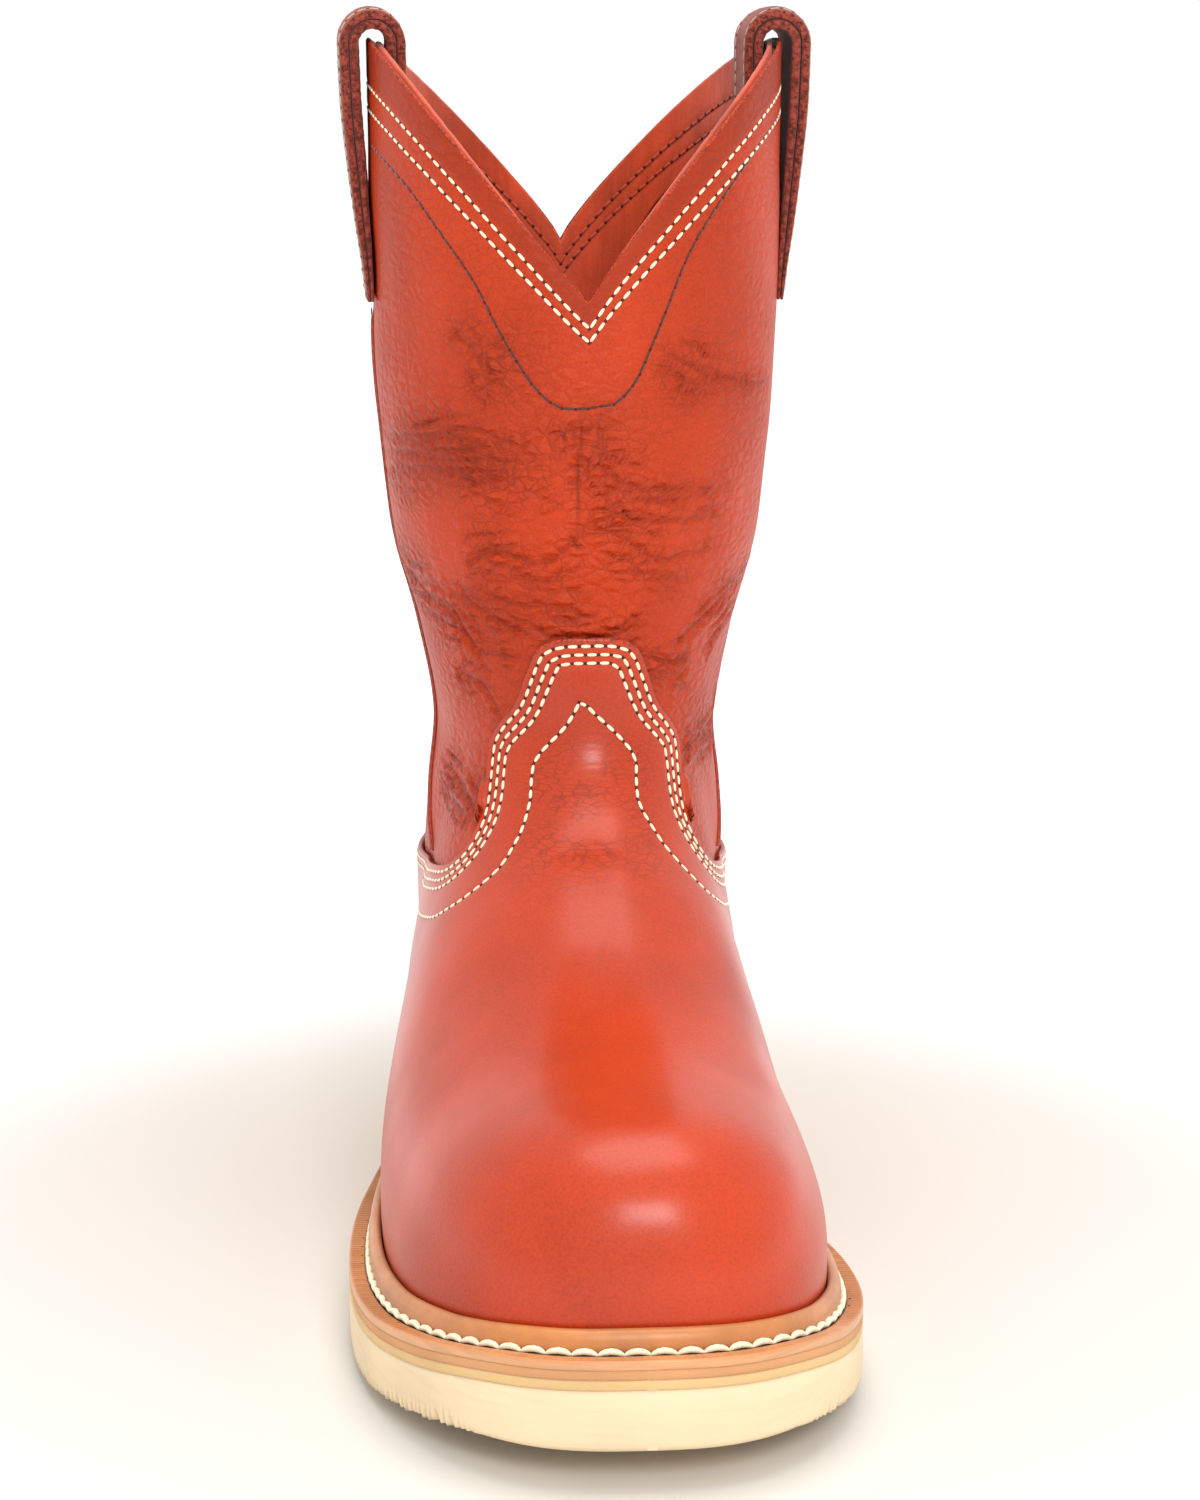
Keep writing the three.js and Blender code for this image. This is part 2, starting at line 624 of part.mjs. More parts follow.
// Course of a pull strap on the outside, from its sewn end to the arch: up the wall, slack to the
// shaft as a share of the full slack, and thickness as a share of the full thickness
const STRAP_LEG = [
  { at: 0, up: STRAP_BOTTOM, slack: 0, thick: 0 },
  { at: 1, up: 0.890, slack: 0.02, thick: 0.25 },
  { at: 2, up: 0.912, slack: 0.15, thick: 0.6 },
  { at: 3, up: 0.940, slack: 0.45, thick: 0.85 },
  { at: 4, up: 0.968, slack: 0.8, thick: 1 },
  { at: 5, up: 1.000, slack: 1, thick: 1 },
];
const STRAP_INNER_BOTTOM = 0.885;
const STRAP_INNER_STEPS = 4;
const STRAP_ARCH_STEPS = 8;
const STRAP_COLUMNS = 4;
const STRAP_ARCH_LIFT = 0.3;

// One row of strap points across its width: a place up the wall, off it, and above the collar
function strapRow(side, up, off, lift) {
  const row = [];
  for (let i = 0; i <= STRAP_COLUMNS; i += 1) {
    const step = (i / STRAP_COLUMNS - 0.5) * (STRAP_WIDTH / SHAFT_GIRTH);
    const point = place(side + step, up, off);
    point.z += lift;
    row.push(point);
  }
  return row;
}

function pullStrap(side) {
  const outer = [];
  const inner = [];
  for (const leg of STRAP_LEG) {
    const near = GAP + STRAP_STAND_OFF * leg.slack;
    outer.push(strapRow(side, leg.up, near + mix(STRAP_END_THICK, STRAP_THICK, leg.thick), 0));
    inner.push(strapRow(side, leg.up, near, 0));
  }
  // The arch is a half circle whose hollow spans from the slack outside to its twin inside
  const outside = GAP + STRAP_STAND_OFF;
  const hollow = STRAP_ARCH_RISE;
  const centre = outside - hollow;
  for (let i = 1; i <= STRAP_ARCH_STEPS; i += 1) {
    const angle = (Math.PI * i) / STRAP_ARCH_STEPS;
    const away = Math.cos(angle);
    const rise = Math.sin(angle);
    const lift = STRAP_ARCH_LIFT * rise;
    outer.push(strapRow(side, 1, centre + away * (hollow + STRAP_THICK), rise * (hollow + STRAP_THICK) + lift));
    inner.push(strapRow(side, 1, centre + away * hollow, rise * hollow + lift));
  }
  // Inside, the strap comes back to the facing and thins out
  const inside = -UPPER_WALL - FACING_WALL - 2 * GAP;
  for (let i = 1; i <= STRAP_INNER_STEPS; i += 1) {
    const share = i / STRAP_INNER_STEPS;
    const up = mix(1, STRAP_INNER_BOTTOM, share);
    const near = mix(centre - hollow, inside, ease(0, 1, share));
    outer.push(strapRow(side, up, near - mix(STRAP_THICK, STRAP_END_THICK, ease(0.3, 1, share)), 0));
    inner.push(strapRow(side, up, near, 0));
  }
  return slab(outer, inner);
}

// How far the sole's edge stands outside the upper at a place along the foot
function margin(y) {
  return mix(REAR_MARGIN, FRONT_MARGIN, ease(0.35, 0.65, station(y)));
}

// The upper's outline at the sole, moved outwards (or inwards, where reach is negative)
function outline(reach) {
  const points = [];
  for (let i = 0; i < COLUMNS; i += 1) {
    const base = place(columnShare(i), 0, 0);
    points.push(place(columnShare(i), 0, reach(base.y)));
  }
  return points;
}

// A closed plate with the given outline, between two heights that follow the length of the sole
function plate(reach, bottom, top) {
  const points = outline(reach);
  const ring = (height) => points.map((p) => new THREE.Vector3(p.x, p.y, height(p.y)));
  const vertices = [...ring(top), ...ring(bottom)];
  const triangles = [];
  for (let i = 0; i < COLUMNS; i += 1) {
    const next = (i + 1) % COLUMNS;
    quad(triangles, COLUMNS + i, COLUMNS + next, next, i);
  }
  for (let i = 0; i < COLUMNS / 2; i += 1) {
    const a = i;
    const b = i + 1;
    const c = (COLUMNS - i - 1) % COLUMNS;
    const d = (COLUMNS - i) % COLUMNS;
    if (a !== d) triangles.push(a, b, d, COLUMNS + a, COLUMNS + d, COLUMNS + b);
    if (b !== c) triangles.push(b, c, d, COLUMNS + b, COLUMNS + d, COLUMNS + c);
  }
  return geometryOf(vertices, triangles);
}

const SLIP_TOP = MIDSOLE_THICK + GAP;
const OUTSOLE_TOP = SLIP_TOP + SLIP_SOLE_THICK + GAP;

function midsole() {
  return plate(margin, (y) => featherHeight(y) - MIDSOLE_THICK, featherHeight);
}

function slipSole() {
  return plate(margin, (y) => featherHeight(y) - SLIP_TOP - SLIP_SOLE_THICK, (y) => featherHeight(y) - SLIP_TOP);
}

// Height of the sole's underside: flat on the floor up to the ball, then sprung up to the toe
function treadHeight(y) {
  const share = Math.max(-y / FOOT_LENGTH - SPRING_START, 0) / (1 - SPRING_START);
  return TOE_SPRING * Math.min(share, 1) ** SPRING_POWER;
}

function outsole() {
  return plate(margin, treadHeight, (y) => featherHeight(y) - OUTSOLE_TOP);
}

function insole() {
  const reach = () => -UPPER_WALL - INSOLE_CLEARANCE;
  return plate(reach, (y) => featherHeight(y) + GAP, (y) => featherHeight(y) + GAP + INSOLE_THICK);
}

// Section of the welt from its inner foot, out along the underside, back over the flat and the
// stitch channel, and over the storm roll. roll: share of the roll's width out from its inner
// face, where it is beside the roll; edge: true at the sole's edge; high: share of the height.
const WELT_FLAT = [
  { roll: 1.45, drop: 0 },
  { roll: 1.15, drop: 0.7 },
];
const WELT_ROLL = [
  { roll: 1.0, high: 0.35 },
  { roll: 0.78, high: 0.75 },
  { roll: 0.4, high: 1.0 },
];

function weltSection(around) {
  const inside = OVERLAY_WALL + 2 * GAP;
  const bottom = place(around, 0, inside);
  const top = place(around, WALL_ROWS[1], inside);
  const edge = margin(place(around, 0, 0).y);
  const flat = (off, height) => {
    const point = place(around, 0, off);
    point.z = featherHeight(point.y) + GAP + height;
    return point;
  };
  const rolled = (out, height) => {
    const lean = top.clone().sub(bottom).multiplyScalar(height / (top.z - bottom.z));
    return place(around, 0, inside + out).add(lean);
  };
  return [
    flat(inside, 0),
    flat(edge, 0),
    flat(edge, WELT_THICK),
    ...WELT_FLAT.map(({ roll, drop }) => flat(inside + roll * WELT_ROLL_WIDTH, WELT_THICK - drop)),
    ...WELT_ROLL.map(({ roll, high }) => rolled(roll * WELT_ROLL_WIDTH, WELT_THICK + high * WELT_ROLL_HEIGHT)),
    top,
  ];
}

function welt() {
  const sections = [];
  for (let i = 0; i < COLUMNS; i += 1) sections.push(weltSection(columnShare(i)));
  const count = sections[0].length;
  const triangles = [];
  for (let i = 0; i < COLUMNS; i += 1) {
    const next = (i + 1) % COLUMNS;
    for (let k = 0; k < count; k += 1) {
      const after = (k + 1) % count;
      // The same split as the wall's own mesh, so that twisted faces stay parallel
      quad(triangles, next * count + k, next * count + after, i * count + after, i * count + k);
    }
  }
  return geometryOf(sections.flat(), triangles);
}

function piece(name, geometry, look) {
  const mesh = new THREE.Mesh(geometry, new THREE.MeshStandardMaterial(look));
  mesh.name = name;
  geometry.computeVertexNormals();
  return mesh;
}

function makeBoot() {
  const boot = new THREE.Group();
  boot.add(piece('outsole', outsole(), CREPE));
  boot.add(piece('slip_sole', slipSole(), THIN_LAYER));
  boot.add(piece('midsole', midsole(), WELT_LEATHER));
  boot.add(piece('welt', welt(), WELT_LEATHER));
  boot.add(piece('insole', insole(), INSOLE_LEATHER));
  boot.add(piece('upper', upper(), LEATHER));
  boot.add(piece('vamp', vamp(), LEATHER));
  boot.add(piece('counter', counter(), LEATHER));
  boot.add(piece('collar_facing', collarFacing(), LINING));
  for (const [name, side] of Object.entries(SIDES)) {
    boot.add(piece(`side_seam_${name}`, sideSeam(side), PIPING));
    boot.add(piece(`pull_strap_${name}`, pullStrap(side), STRAP_LEATHER));
  }
  return boot;
}

// The origin is on the floor, under the middle of the boot's box
function centred(boot) {
  const box = new THREE.Box3().setFromObject(boot);
  const middle = box.getCenter(new THREE.Vector3());
  boot.position.set(-middle.x, -middle.y, -box.min.z);
  return boot;
}

const group = new THREE.Group();
group.add(centred(makeBoot()));

export default group;
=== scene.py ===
"""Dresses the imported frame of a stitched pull-on work boot: leather, thread, welt and crepe sole."""

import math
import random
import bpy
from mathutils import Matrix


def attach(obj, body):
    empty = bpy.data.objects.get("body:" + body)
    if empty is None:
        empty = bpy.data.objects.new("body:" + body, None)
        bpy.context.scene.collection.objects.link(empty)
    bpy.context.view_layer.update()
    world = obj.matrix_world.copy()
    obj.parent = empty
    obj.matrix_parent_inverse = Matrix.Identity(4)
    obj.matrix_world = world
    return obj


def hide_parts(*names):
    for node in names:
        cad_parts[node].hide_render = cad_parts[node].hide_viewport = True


bl_info = {
    "name": "Stitched Work Boot",
    "version": (1, 0, 0),
    "blender": (4, 5, 0),
    "location": "View3D > Sidebar > Work Boot",
    "description": "Builds the leather, the seams and the sole of a pull-on work boot around its frame",
    "category": "Object",
}

import bmesh
import bpy
import numpy as np
from bpy.props import FloatProperty, FloatVectorProperty, PointerProperty
from mathutils import Matrix, Vector, noise

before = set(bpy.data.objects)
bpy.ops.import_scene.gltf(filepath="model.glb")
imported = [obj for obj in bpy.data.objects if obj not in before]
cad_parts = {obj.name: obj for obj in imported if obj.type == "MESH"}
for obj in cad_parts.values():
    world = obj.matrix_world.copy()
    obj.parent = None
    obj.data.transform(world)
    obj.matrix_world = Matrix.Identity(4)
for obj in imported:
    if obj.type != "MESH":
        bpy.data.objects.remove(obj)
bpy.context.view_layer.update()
BODY = "root"
MM = 0.001

# The boot's own sizes in millimetres, as in the part's source
FOOT_LENGTH = 289
BALL_WIDTH = 95.4
INSTEP_RISE = 94
SOLE_RISE = 33
SHAFT_WIDTH = 107.6
BOOT_HEIGHT = 302
COLLAR_FRONT_DIP = 63
COLLAR_BACK_DIP = 56
TOE_ROUND = 72
TOE_DROP = 45
HEEL_ROUND = 33
HEEL_TUCK = 4
UPPER_WALL = 2.2
OVERLAY_WALL = 1.6
FACING_WALL = 1.2
GAP = 0.3
WELT_THICK = 2.2
WELT_ROLL_HEIGHT = 5.0
WELT_ROLL_WIDTH = 3.3
MIDSOLE_THICK = 2
SLIP_SOLE_THICK = 2
FRONT_MARGIN = 10.8
REAR_MARGIN = 8
TOE_SPRING = 9.75
SPRING_START = 0.68
SPRING_POWER = 1.8
STRAP_WIDTH = 30
STRAP_THICK = 4.8
STRAP_END_THICK = 1.6
STRAP_ARCH_RISE = 3.7
STRAP_STAND_OFF = 2.4
FIRST_ROW = 0.057
FRAME_SHIFT = 147.84


def table(names, *rows):
    """Named columns of a size table."""
    return dict(zip(names.split(), np.array(rows, float).T))


FOOT = table(
    "at middle half feather ridge lean power bulge",
    (0.00, 0.000, 0.652, 1.000, 0.51, 0.00, 2.2, 0.15),
    (0.10, 0.000, 0.652, 0.985, 0.62, -0.02, 2.2, 0.22),
    (0.22, -0.017, 0.652, 0.955, 0.75, -0.03, 2.2, 0.33),
    (0.35, -0.063, 0.663, 0.848, 0.92, 0.02, 2.1, 0.38),
    (0.45, -0.109, 0.715, 0.697, 1.00, 0.10, 2.0, 0.36),
    (0.55, -0.138, 0.820, 0.576, 0.895, 0.16, 2.0, 0.26),
    (0.65, -0.117, 0.924, 0.530, 0.725, 0.14, 2.1, 0.15),
    (0.75, -0.050, 1.000, 0.530, 0.61, 0.08, 2.3, 0.06),
    (0.85, 0.000, 0.979, 0.591, 0.555, 0.04, 2.5, 0.02),
    (0.93, 0.038, 0.904, 0.682, 0.535, 0.02, 2.6, 0.02),
    (1.00, 0.055, 0.832, 0.806, 0.51, 0.00, 2.6, 0.02),
    (1.04, 0.055, 0.832, 0.850, 0.51, 0.00, 2.6, 0.02),
)
SHAFT = table(
    "at half front back power",
    (0.066, 0.555, 0.345, 0.021, 2.1),
    (0.119, 0.578, 0.359, 0.012, 2.1),
    (0.166, 0.680, 0.373, 0.002, 2.1),
    (0.215, 0.745, 0.391, 0.000, 2.1),
    (0.281, 0.757, 0.415, 0.009, 2.1),
    (0.348, 0.730, 0.438, 0.019, 2.1),
    (0.414, 0.697, 0.457, 0.026, 2.1),
    (0.497, 0.776, 0.474, 0.030, 2.15),
    (0.596, 0.905, 0.486, 0.028, 2.2),
    (0.728, 0.972, 0.491, 0.023, 2.2),
    (0.861, 0.993, 0.493, 0.018, 2.2),
    (1.000, 1.000, 0.495, 0.012, 2.2),
)
RINGS = table(
    "at centre height slope sole collar",
    (0.00, 0.505, 0.099, 0.00, 1.0, 0.00),
    (0.12, 0.505, 0.142, -0.02, 1.0, 0.00),
    (0.24, 0.488, 0.192, -0.08, 0.6, 0.00),
    (0.36, 0.440, 0.255, -0.14, 0.2, 0.00),
    (0.48, 0.357, 0.338, -0.12, 0.0, 0.00),
    (0.60, 0.281, 0.430, -0.04, 0.0, 0.00),
    (0.72, 0.260, 0.536, 0.00, 0.0, 0.05),
    (0.86, 0.256, 0.679, 0.00, 0.0, 0.50),
    (1.00, 0.253, 0.828, 0.00, 0.0, 1.00),
)
VAMP_EDGE = table(
    "at around up",
    (0, 0.000, 0.700),
    (1, 0.020, 0.698),
    (2, 0.036, 0.688),
    (3, 0.046, 0.660),
    (4, 0.056, 0.628),
    (5, 0.073, 0.602),
    (6, 0.084, 0.580),
    (7, 0.087, 0.545),
    (8, 0.088, 0.505),
    (9, 0.094, 0.477),
    (10, 0.110, 0.455),
    (11, 0.140, 0.438),
    (12, 0.185, 0.430),
    (13, 0.242, 0.425),
)
COUNTER_EDGE = table("at up", (0.00, 0.425), (0.20, 0.430), (0.37, 0.462), (0.50, 0.490))
FACING_EDGE = table(
    "at up",
    (0.00, 0.895),
    (0.03, 0.900),
    (0.05, 0.925),
    (0.08, 0.947),
    (0.15, 0.955),
    (0.25, 0.960),
    (0.42, 0.950),
    (0.47, 0.915),
    (0.50, 0.895),
)
STRAP_LEG = table(
    "at up slack thick",
    (0, 0.872, 0, 0),
    (1, 0.890, 0.02, 0.25),
    (2, 0.912, 0.15, 0.6),
    (3, 0.940, 0.45, 0.85),
    (4, 0.968, 0.8, 1),
    (5, 1.000, 1, 1),
)
VAMP_NODES = len(VAMP_EDGE["at"]) - 1
JOINT_TOP = 0.425
SIDES = {"medial": 0.25, "lateral": -0.25}
SHAFT_GIRTH = 2 * (SHAFT_WIDTH + FOOT_LENGTH * (SHAFT["front"][-1] - SHAFT["back"][-1])) * 0.79

# Where the single stitch row and the facing's row run over the leather: around, up
INNER_ROW_LATERAL = (
    (-0.005, 0.635), (-0.015, 0.605), (-0.03, 0.58), (-0.04, 0.56), (-0.042, 0.535),
    (-0.042, 0.515), (-0.047, 0.485), (-0.052, 0.47), (-0.065, 0.445), (-0.085, 0.425),
    (-0.113, 0.405), (-0.155, 0.385), (-0.203, 0.375), (-0.236, 0.370),
)
INNER_ROW_MEDIAL = (
    (-0.005, 0.635), (0.007, 0.615), (0.02, 0.595), (0.035, 0.565), (0.035, 0.54),
    (0.035, 0.51), (0.045, 0.48), (0.055, 0.46), (0.075, 0.435), (0.098, 0.415),
    (0.135, 0.398), (0.175, 0.388), (0.215, 0.380), (0.238, 0.376),
)
FACING_ROW = (
    (-0.210, 0.951), (-0.137, 0.950), (-0.102, 0.942), (-0.076, 0.932), (-0.058, 0.915),
    (-0.042, 0.900), (-0.030, 0.893), (-0.018, 0.894), (-0.008, 0.902), (0.000, 0.911), (0.008, 0.902),
    (0.018, 0.893), (0.031, 0.898), (0.040, 0.912), (0.050, 0.927), (0.069, 0.951),
    (0.098, 0.962), (0.142, 0.967), (0.200, 0.967),
)
# Creases of the worn shaft: depth and half width in millimetres, then places around and up
SHAFT_CREASES = (
    (0.55, 1.1, ((-0.240, 0.805), (-0.167, 0.810), (-0.108, 0.825), (-0.080, 0.840), (-0.037, 0.845))),
    (0.45, 1.0, ((-0.235, 0.800), (-0.145, 0.810), (-0.115, 0.815), (-0.085, 0.825), (-0.040, 0.845))),
    (0.60, 1.2, ((-0.240, 0.790), (-0.145, 0.805), (-0.110, 0.810), (-0.055, 0.830), (-0.022, 0.850))),
    (0.55, 1.2, ((-0.243, 0.780), (-0.155, 0.795), (-0.095, 0.810), (-0.062, 0.820), (-0.022, 0.840))),
    (0.45, 1.2, ((-0.240, 0.775), (-0.142, 0.795), (-0.085, 0.810), (-0.050, 0.815), (-0.020, 0.815))),
    (0.70, 1.3, ((0.005, 0.880), (0.007, 0.855), (0.018, 0.835), (0.030, 0.820), (0.060, 0.805),
                 (0.113, 0.790))),
    (0.60, 1.2, ((0.007, 0.840), (0.018, 0.825), (0.033, 0.810), (0.055, 0.800), (0.098, 0.790))),
    (0.60, 1.2, ((0.013, 0.830), (0.022, 0.810), (0.030, 0.795), (0.058, 0.785), (0.102, 0.775))),
    (0.60, 1.3, ((-0.002, 0.800), (0.013, 0.795), (0.033, 0.775), (0.052, 0.760), (0.107, 0.755))),
    (0.70, 1.4, ((-0.090, 0.745), (-0.083, 0.755), (-0.060, 0.765), (-0.027, 0.765), (0.003, 0.815))),
    (0.90, 3.0, ((-0.005, 0.900), (-0.005, 0.875), (-0.007, 0.840), (-0.005, 0.770))),
    (0.50, 1.3, ((0.045, 0.910), (0.065, 0.885), (0.087, 0.865), (0.128, 0.845), (0.168, 0.835))),
    (0.50, 1.5, ((-0.055, 0.875), (-0.068, 0.885), (-0.080, 0.890), (-0.095, 0.890))),
    (0.60, 1.5, ((-0.233, 0.740), (-0.233, 0.725), (-0.157, 0.725), (-0.115, 0.725))),
    (0.80, 1.8, ((-0.233, 0.730), (-0.152, 0.715), (-0.120, 0.710), (-0.105, 0.690), (-0.083, 0.655))),
    (0.70, 1.5, ((-0.235, 0.705), (-0.132, 0.695), (-0.108, 0.690), (-0.090, 0.675), (-0.037, 0.675))),
    (0.60, 1.3, ((-0.105, 0.735), (-0.093, 0.720), (-0.060, 0.705), (-0.022, 0.690))),
    (0.50, 1.2, ((-0.075, 0.730), (-0.055, 0.725), (-0.012, 0.725), (-0.002, 0.720))),
    (0.80, 1.6, ((-0.045, 0.710), (-0.030, 0.700), (0.005, 0.697), (0.030, 0.705), (0.037, 0.715))),
    (0.60, 1.3, ((0.025, 0.685), (0.048, 0.675), (0.077, 0.665), (0.087, 0.675))),
    (0.90, 2.0, ((0.195, 0.725), (0.135, 0.715), (0.100, 0.700), (0.080, 0.690))),
    (0.70, 1.6, ((0.190, 0.700), (0.142, 0.685), (0.113, 0.670))),
    (0.90, 1.8, ((0.198, 0.620), (0.188, 0.580), (0.128, 0.565), (0.095, 0.550))),
    (0.70, 1.5, ((0.220, 0.575), (0.198, 0.550), (0.117, 0.540))),
    (0.60, 1.4, ((-0.123, 0.655), (-0.118, 0.645), (-0.095, 0.640), (-0.075, 0.605))),
    (1.10, 2.0, ((-0.203, 0.535), (-0.157, 0.525), (-0.120, 0.505), (-0.100, 0.485))),
    (0.90, 1.8, ((-0.210, 0.505), (-0.140, 0.495), (-0.113, 0.485))),
)


def rgb(code):
    """A colour written as six hexadecimal digits, as Blender's linear colour."""
    shares = [int(code[i : i + 2], 16) / 255 for i in (0, 2, 4)]
    return tuple(s / 12.92 if s < 0.04045 else ((s + 0.055) / 1.055) ** 2.4 for s in shares)


class BootSizes(bpy.types.PropertyGroup):
    """Sizes of the fine work, in metres."""

    stitch_pitch: FloatProperty(
        name="Stitch Pitch", description="One stitch and its hole on the upper",
        default=0.0033, unit="LENGTH")
    thread: FloatProperty(
        name="Thread", description="Width of the sewing thread", default=0.00095, unit="LENGTH")
    row_gap: FloatProperty(
        name="Row Spacing", description="Between neighbouring stitch rows",
        default=0.0023, unit="LENGTH")
    welt_pitch: FloatProperty(
        name="Welt Stitch Pitch", description="One lock stitch of the welt",
        default=0.0057, unit="LENGTH")
    welt_thread: FloatProperty(
        name="Welt Thread", description="Width of the welt's waxed thread",
        default=0.0019, unit="LENGTH")
    rib_pitch: FloatProperty(
        name="Wheeling Pitch", description="One rib of the wheeled welt edge",
        default=0.0014, unit="LENGTH")
    tooth_depth: FloatProperty(
        name="Tooth Depth", description="Depth of the sole's fine tread", default=0.0031, unit="LENGTH")
    # crease also scales the painted shade along the shaft's creases, up to its full strength
    crease: FloatProperty(
        name="Crease Depth", description="Share of the full depth of the creases",
        default=1.0, min=0.0, max=2.0, subtype="FACTOR")


class BootColours(bpy.types.PropertyGroup):
    """Colours of the leathers, the thread and the sole."""

    leather: FloatVectorProperty(
        name="Leather", description="Smooth and pebbled upper leather",
        subtype="COLOR", default=rgb("B0340B"), min=0, max=1)
    lining: FloatVectorProperty(
        name="Lining", description="Red leather inside the shaft",
        subtype="COLOR", default=rgb("CE4A20"), min=0, max=1)
    strap: FloatVectorProperty(
        name="Strap", description="Outer face of the pull straps",
        subtype="COLOR", default=rgb("8C3A26"), min=0, max=1)
    raw_edge: FloatVectorProperty(
        name="Raw Edge", description="Cut edges of straps and collar",
        subtype="COLOR", default=rgb("6E2C20"), min=0, max=1)
    thread: FloatVectorProperty(
        name="Thread", description="Cream sewing thread",
        subtype="COLOR", default=rgb("F6EBC8"), min=0, max=1)
    welt: FloatVectorProperty(
        name="Welt", description="Tan welt leather",
        subtype="COLOR", default=rgb("CB7F3E"), min=0, max=1)
    midsole: FloatVectorProperty(
        name="Midsole", description="Pale edge of the midsole",
        subtype="COLOR", default=rgb("D2996A"), min=0, max=1)
    crepe: FloatVectorProperty(
        name="Crepe", description="Cream wedge sole",
        subtype="COLOR", default=rgb("E9D2AE"), min=0, max=1)


# The boot's surface, worked out from the tables above


def through(sizes, name, where):
    """A smooth run through one column of a table."""
    at, value = sizes["at"], sizes[name]
    last = len(at) - 1
    low = np.maximum(np.arange(last + 1) - 1, 0)
    high = np.minimum(np.arange(last + 1) + 1, last)
    slope = (value[high] - value[low]) / (at[high] - at[low])
    x = np.clip(where, at[0], at[last])
    i = np.clip(np.searchsorted(at, x, side="right") - 1, 0, last - 1)
    run = at[i + 1] - at[i]
    s = (x - at[i]) / run
    return (
        (2 * s**3 - 3 * s**2 + 1) * value[i]
        + (s**3 - 2 * s**2 + s) * run * slope[i]
        + (3 * s**2 - 2 * s**3) * value[i + 1]
        + (s**3 - s**2) * run * slope[i + 1]
    )


def ease(a, b, value):
    """0 below a, 1 above b and a soft step between them."""
    share = np.clip((value - a) / (b - a), 0, 1)
    return share * share * (3 - 2 * share)


def mix(a, b, share):
    return a + (b - a) * share


def station(y):
    return np.clip(-y / FOOT_LENGTH, 0, FOOT["at"][-1])


def feather_height(y):
    return SOLE_RISE * through(FOOT, "feather", station(y))


def closing(distance, reach, power):
    """How far a width has closed in at a distance from the end that it rounds towards."""
    s = np.clip(1 - distance / reach, 0, 1)
    return np.maximum(1 - s**power, 1e-9) ** (1 / power)


def foot_field(x, y, z):
    q = station(y)
    from_toe = np.maximum(y + FOOT_LENGTH, 0)
    from_heel = closing(np.maximum(-HEEL_TUCK - y, 0), HEEL_ROUND, 2.1)
    plan = closing(from_toe, TOE_ROUND, 3) * from_heel
    side = closing(from_toe, TOE_DROP, 2.9) * from_heel
    base = feather_height(y)
    rise = np.maximum(INSTEP_RISE * through(FOOT, "ridge", q) * side, 0.5)
    up = (z - base) / rise
    bulge = np.clip(up / 0.5, 0, 1)
    swell = 1 + through(FOOT, "bulge", q) * bulge * (2 - bulge)
    half = BALL_WIDTH / 2 * through(FOOT, "half", q) * plan * swell
    lean = through(FOOT, "lean", q) * np.clip(up, 0, 1.2)
    middle = BALL_WIDTH / 2 * (through(FOOT, "middle", q) + lean)
    power = through(FOOT, "power", q)
    across = np.abs(x - middle)
    ratio = ((across / np.maximum(half, 0.3)) ** power + np.maximum(up, 0) ** power) ** (1 / power)
    reach = np.hypot(across, np.maximum(z - base, 0)) + 1e-6
    beyond = np.maximum(np.maximum(-FOOT_LENGTH - y, y + HEEL_TUCK), 0)
    return np.maximum(reach * (1 - 1 / np.maximum(ratio, 1e-3)), -40) + 2 * beyond


def shaft_field(x, y, z):
    at = z / BOOT_HEIGHT
    front = -FOOT_LENGTH * through(SHAFT, "front", at)
    back = -FOOT_LENGTH * through(SHAFT, "back", at)
    half = SHAFT_WIDTH / 2 * through(SHAFT, "half", at)
    power = through(SHAFT, "power", at)
    along = y - (front + back) / 2
    across, along_share = np.abs(x) / half, np.abs(along) / ((back - front) / 2)
    ratio = (across**power + along_share**power) ** (1 / power)
    reach = np.hypot(x, along) + 1e-6
    return np.maximum(reach * (1 - 1 / np.maximum(ratio, 1e-3)), -60)


def field(x, y, z):
    """Distance outside the whole boot: foot and shaft joined by a soft blend."""
    a, b = foot_field(x, y, z), shaft_field(x, y, z)
    blend = mix(32, 6, ease(-0.43 * FOOT_LENGTH, -0.24 * FOOT_LENGTH, y))
    overlap = np.maximum(blend - np.abs(a - b), 0) / blend
    return np.minimum(a, b) - overlap * overlap * blend / 4


def collar_height(x, y):
    share = np.clip(np.abs(x) / (SHAFT_WIDTH / 2), 0, 1)
    power = mix(1, 0.88, ease(-6, 6, x))
    front = BOOT_HEIGHT - COLLAR_FRONT_DIP * (1 - share**power)
    back = BOOT_HEIGHT - COLLAR_BACK_DIP * (1 - share**0.85)
    turn, half = -0.253 * FOOT_LENGTH, 0.028 * FOOT_LENGTH
    return mix(front, back, ease(turn - half, turn + half, y))


def ring_height(up, x, y):
    height = BOOT_HEIGHT * through(RINGS, "height", up)
    sole = np.clip(through(RINGS, "sole", up), 0, 1)
    collar = np.clip(through(RINGS, "collar", up), 0, 1)
    centre = -FOOT_LENGTH * through(RINGS, "centre", up)
    level = height + through(RINGS, "slope", up) * (y - centre)
    over_sole = feather_height(y) + height - BOOT_HEIGHT * RINGS["height"][0]
    under_collar = collar_height(x, y) - BOOT_HEIGHT * RINGS["height"][-1] + height
    return sole * over_sole + collar * under_collar + (1 - sole - collar) * level


LATTICE_COLUMNS = 288
LATTICE_ROWS = 144
RAYS = 720


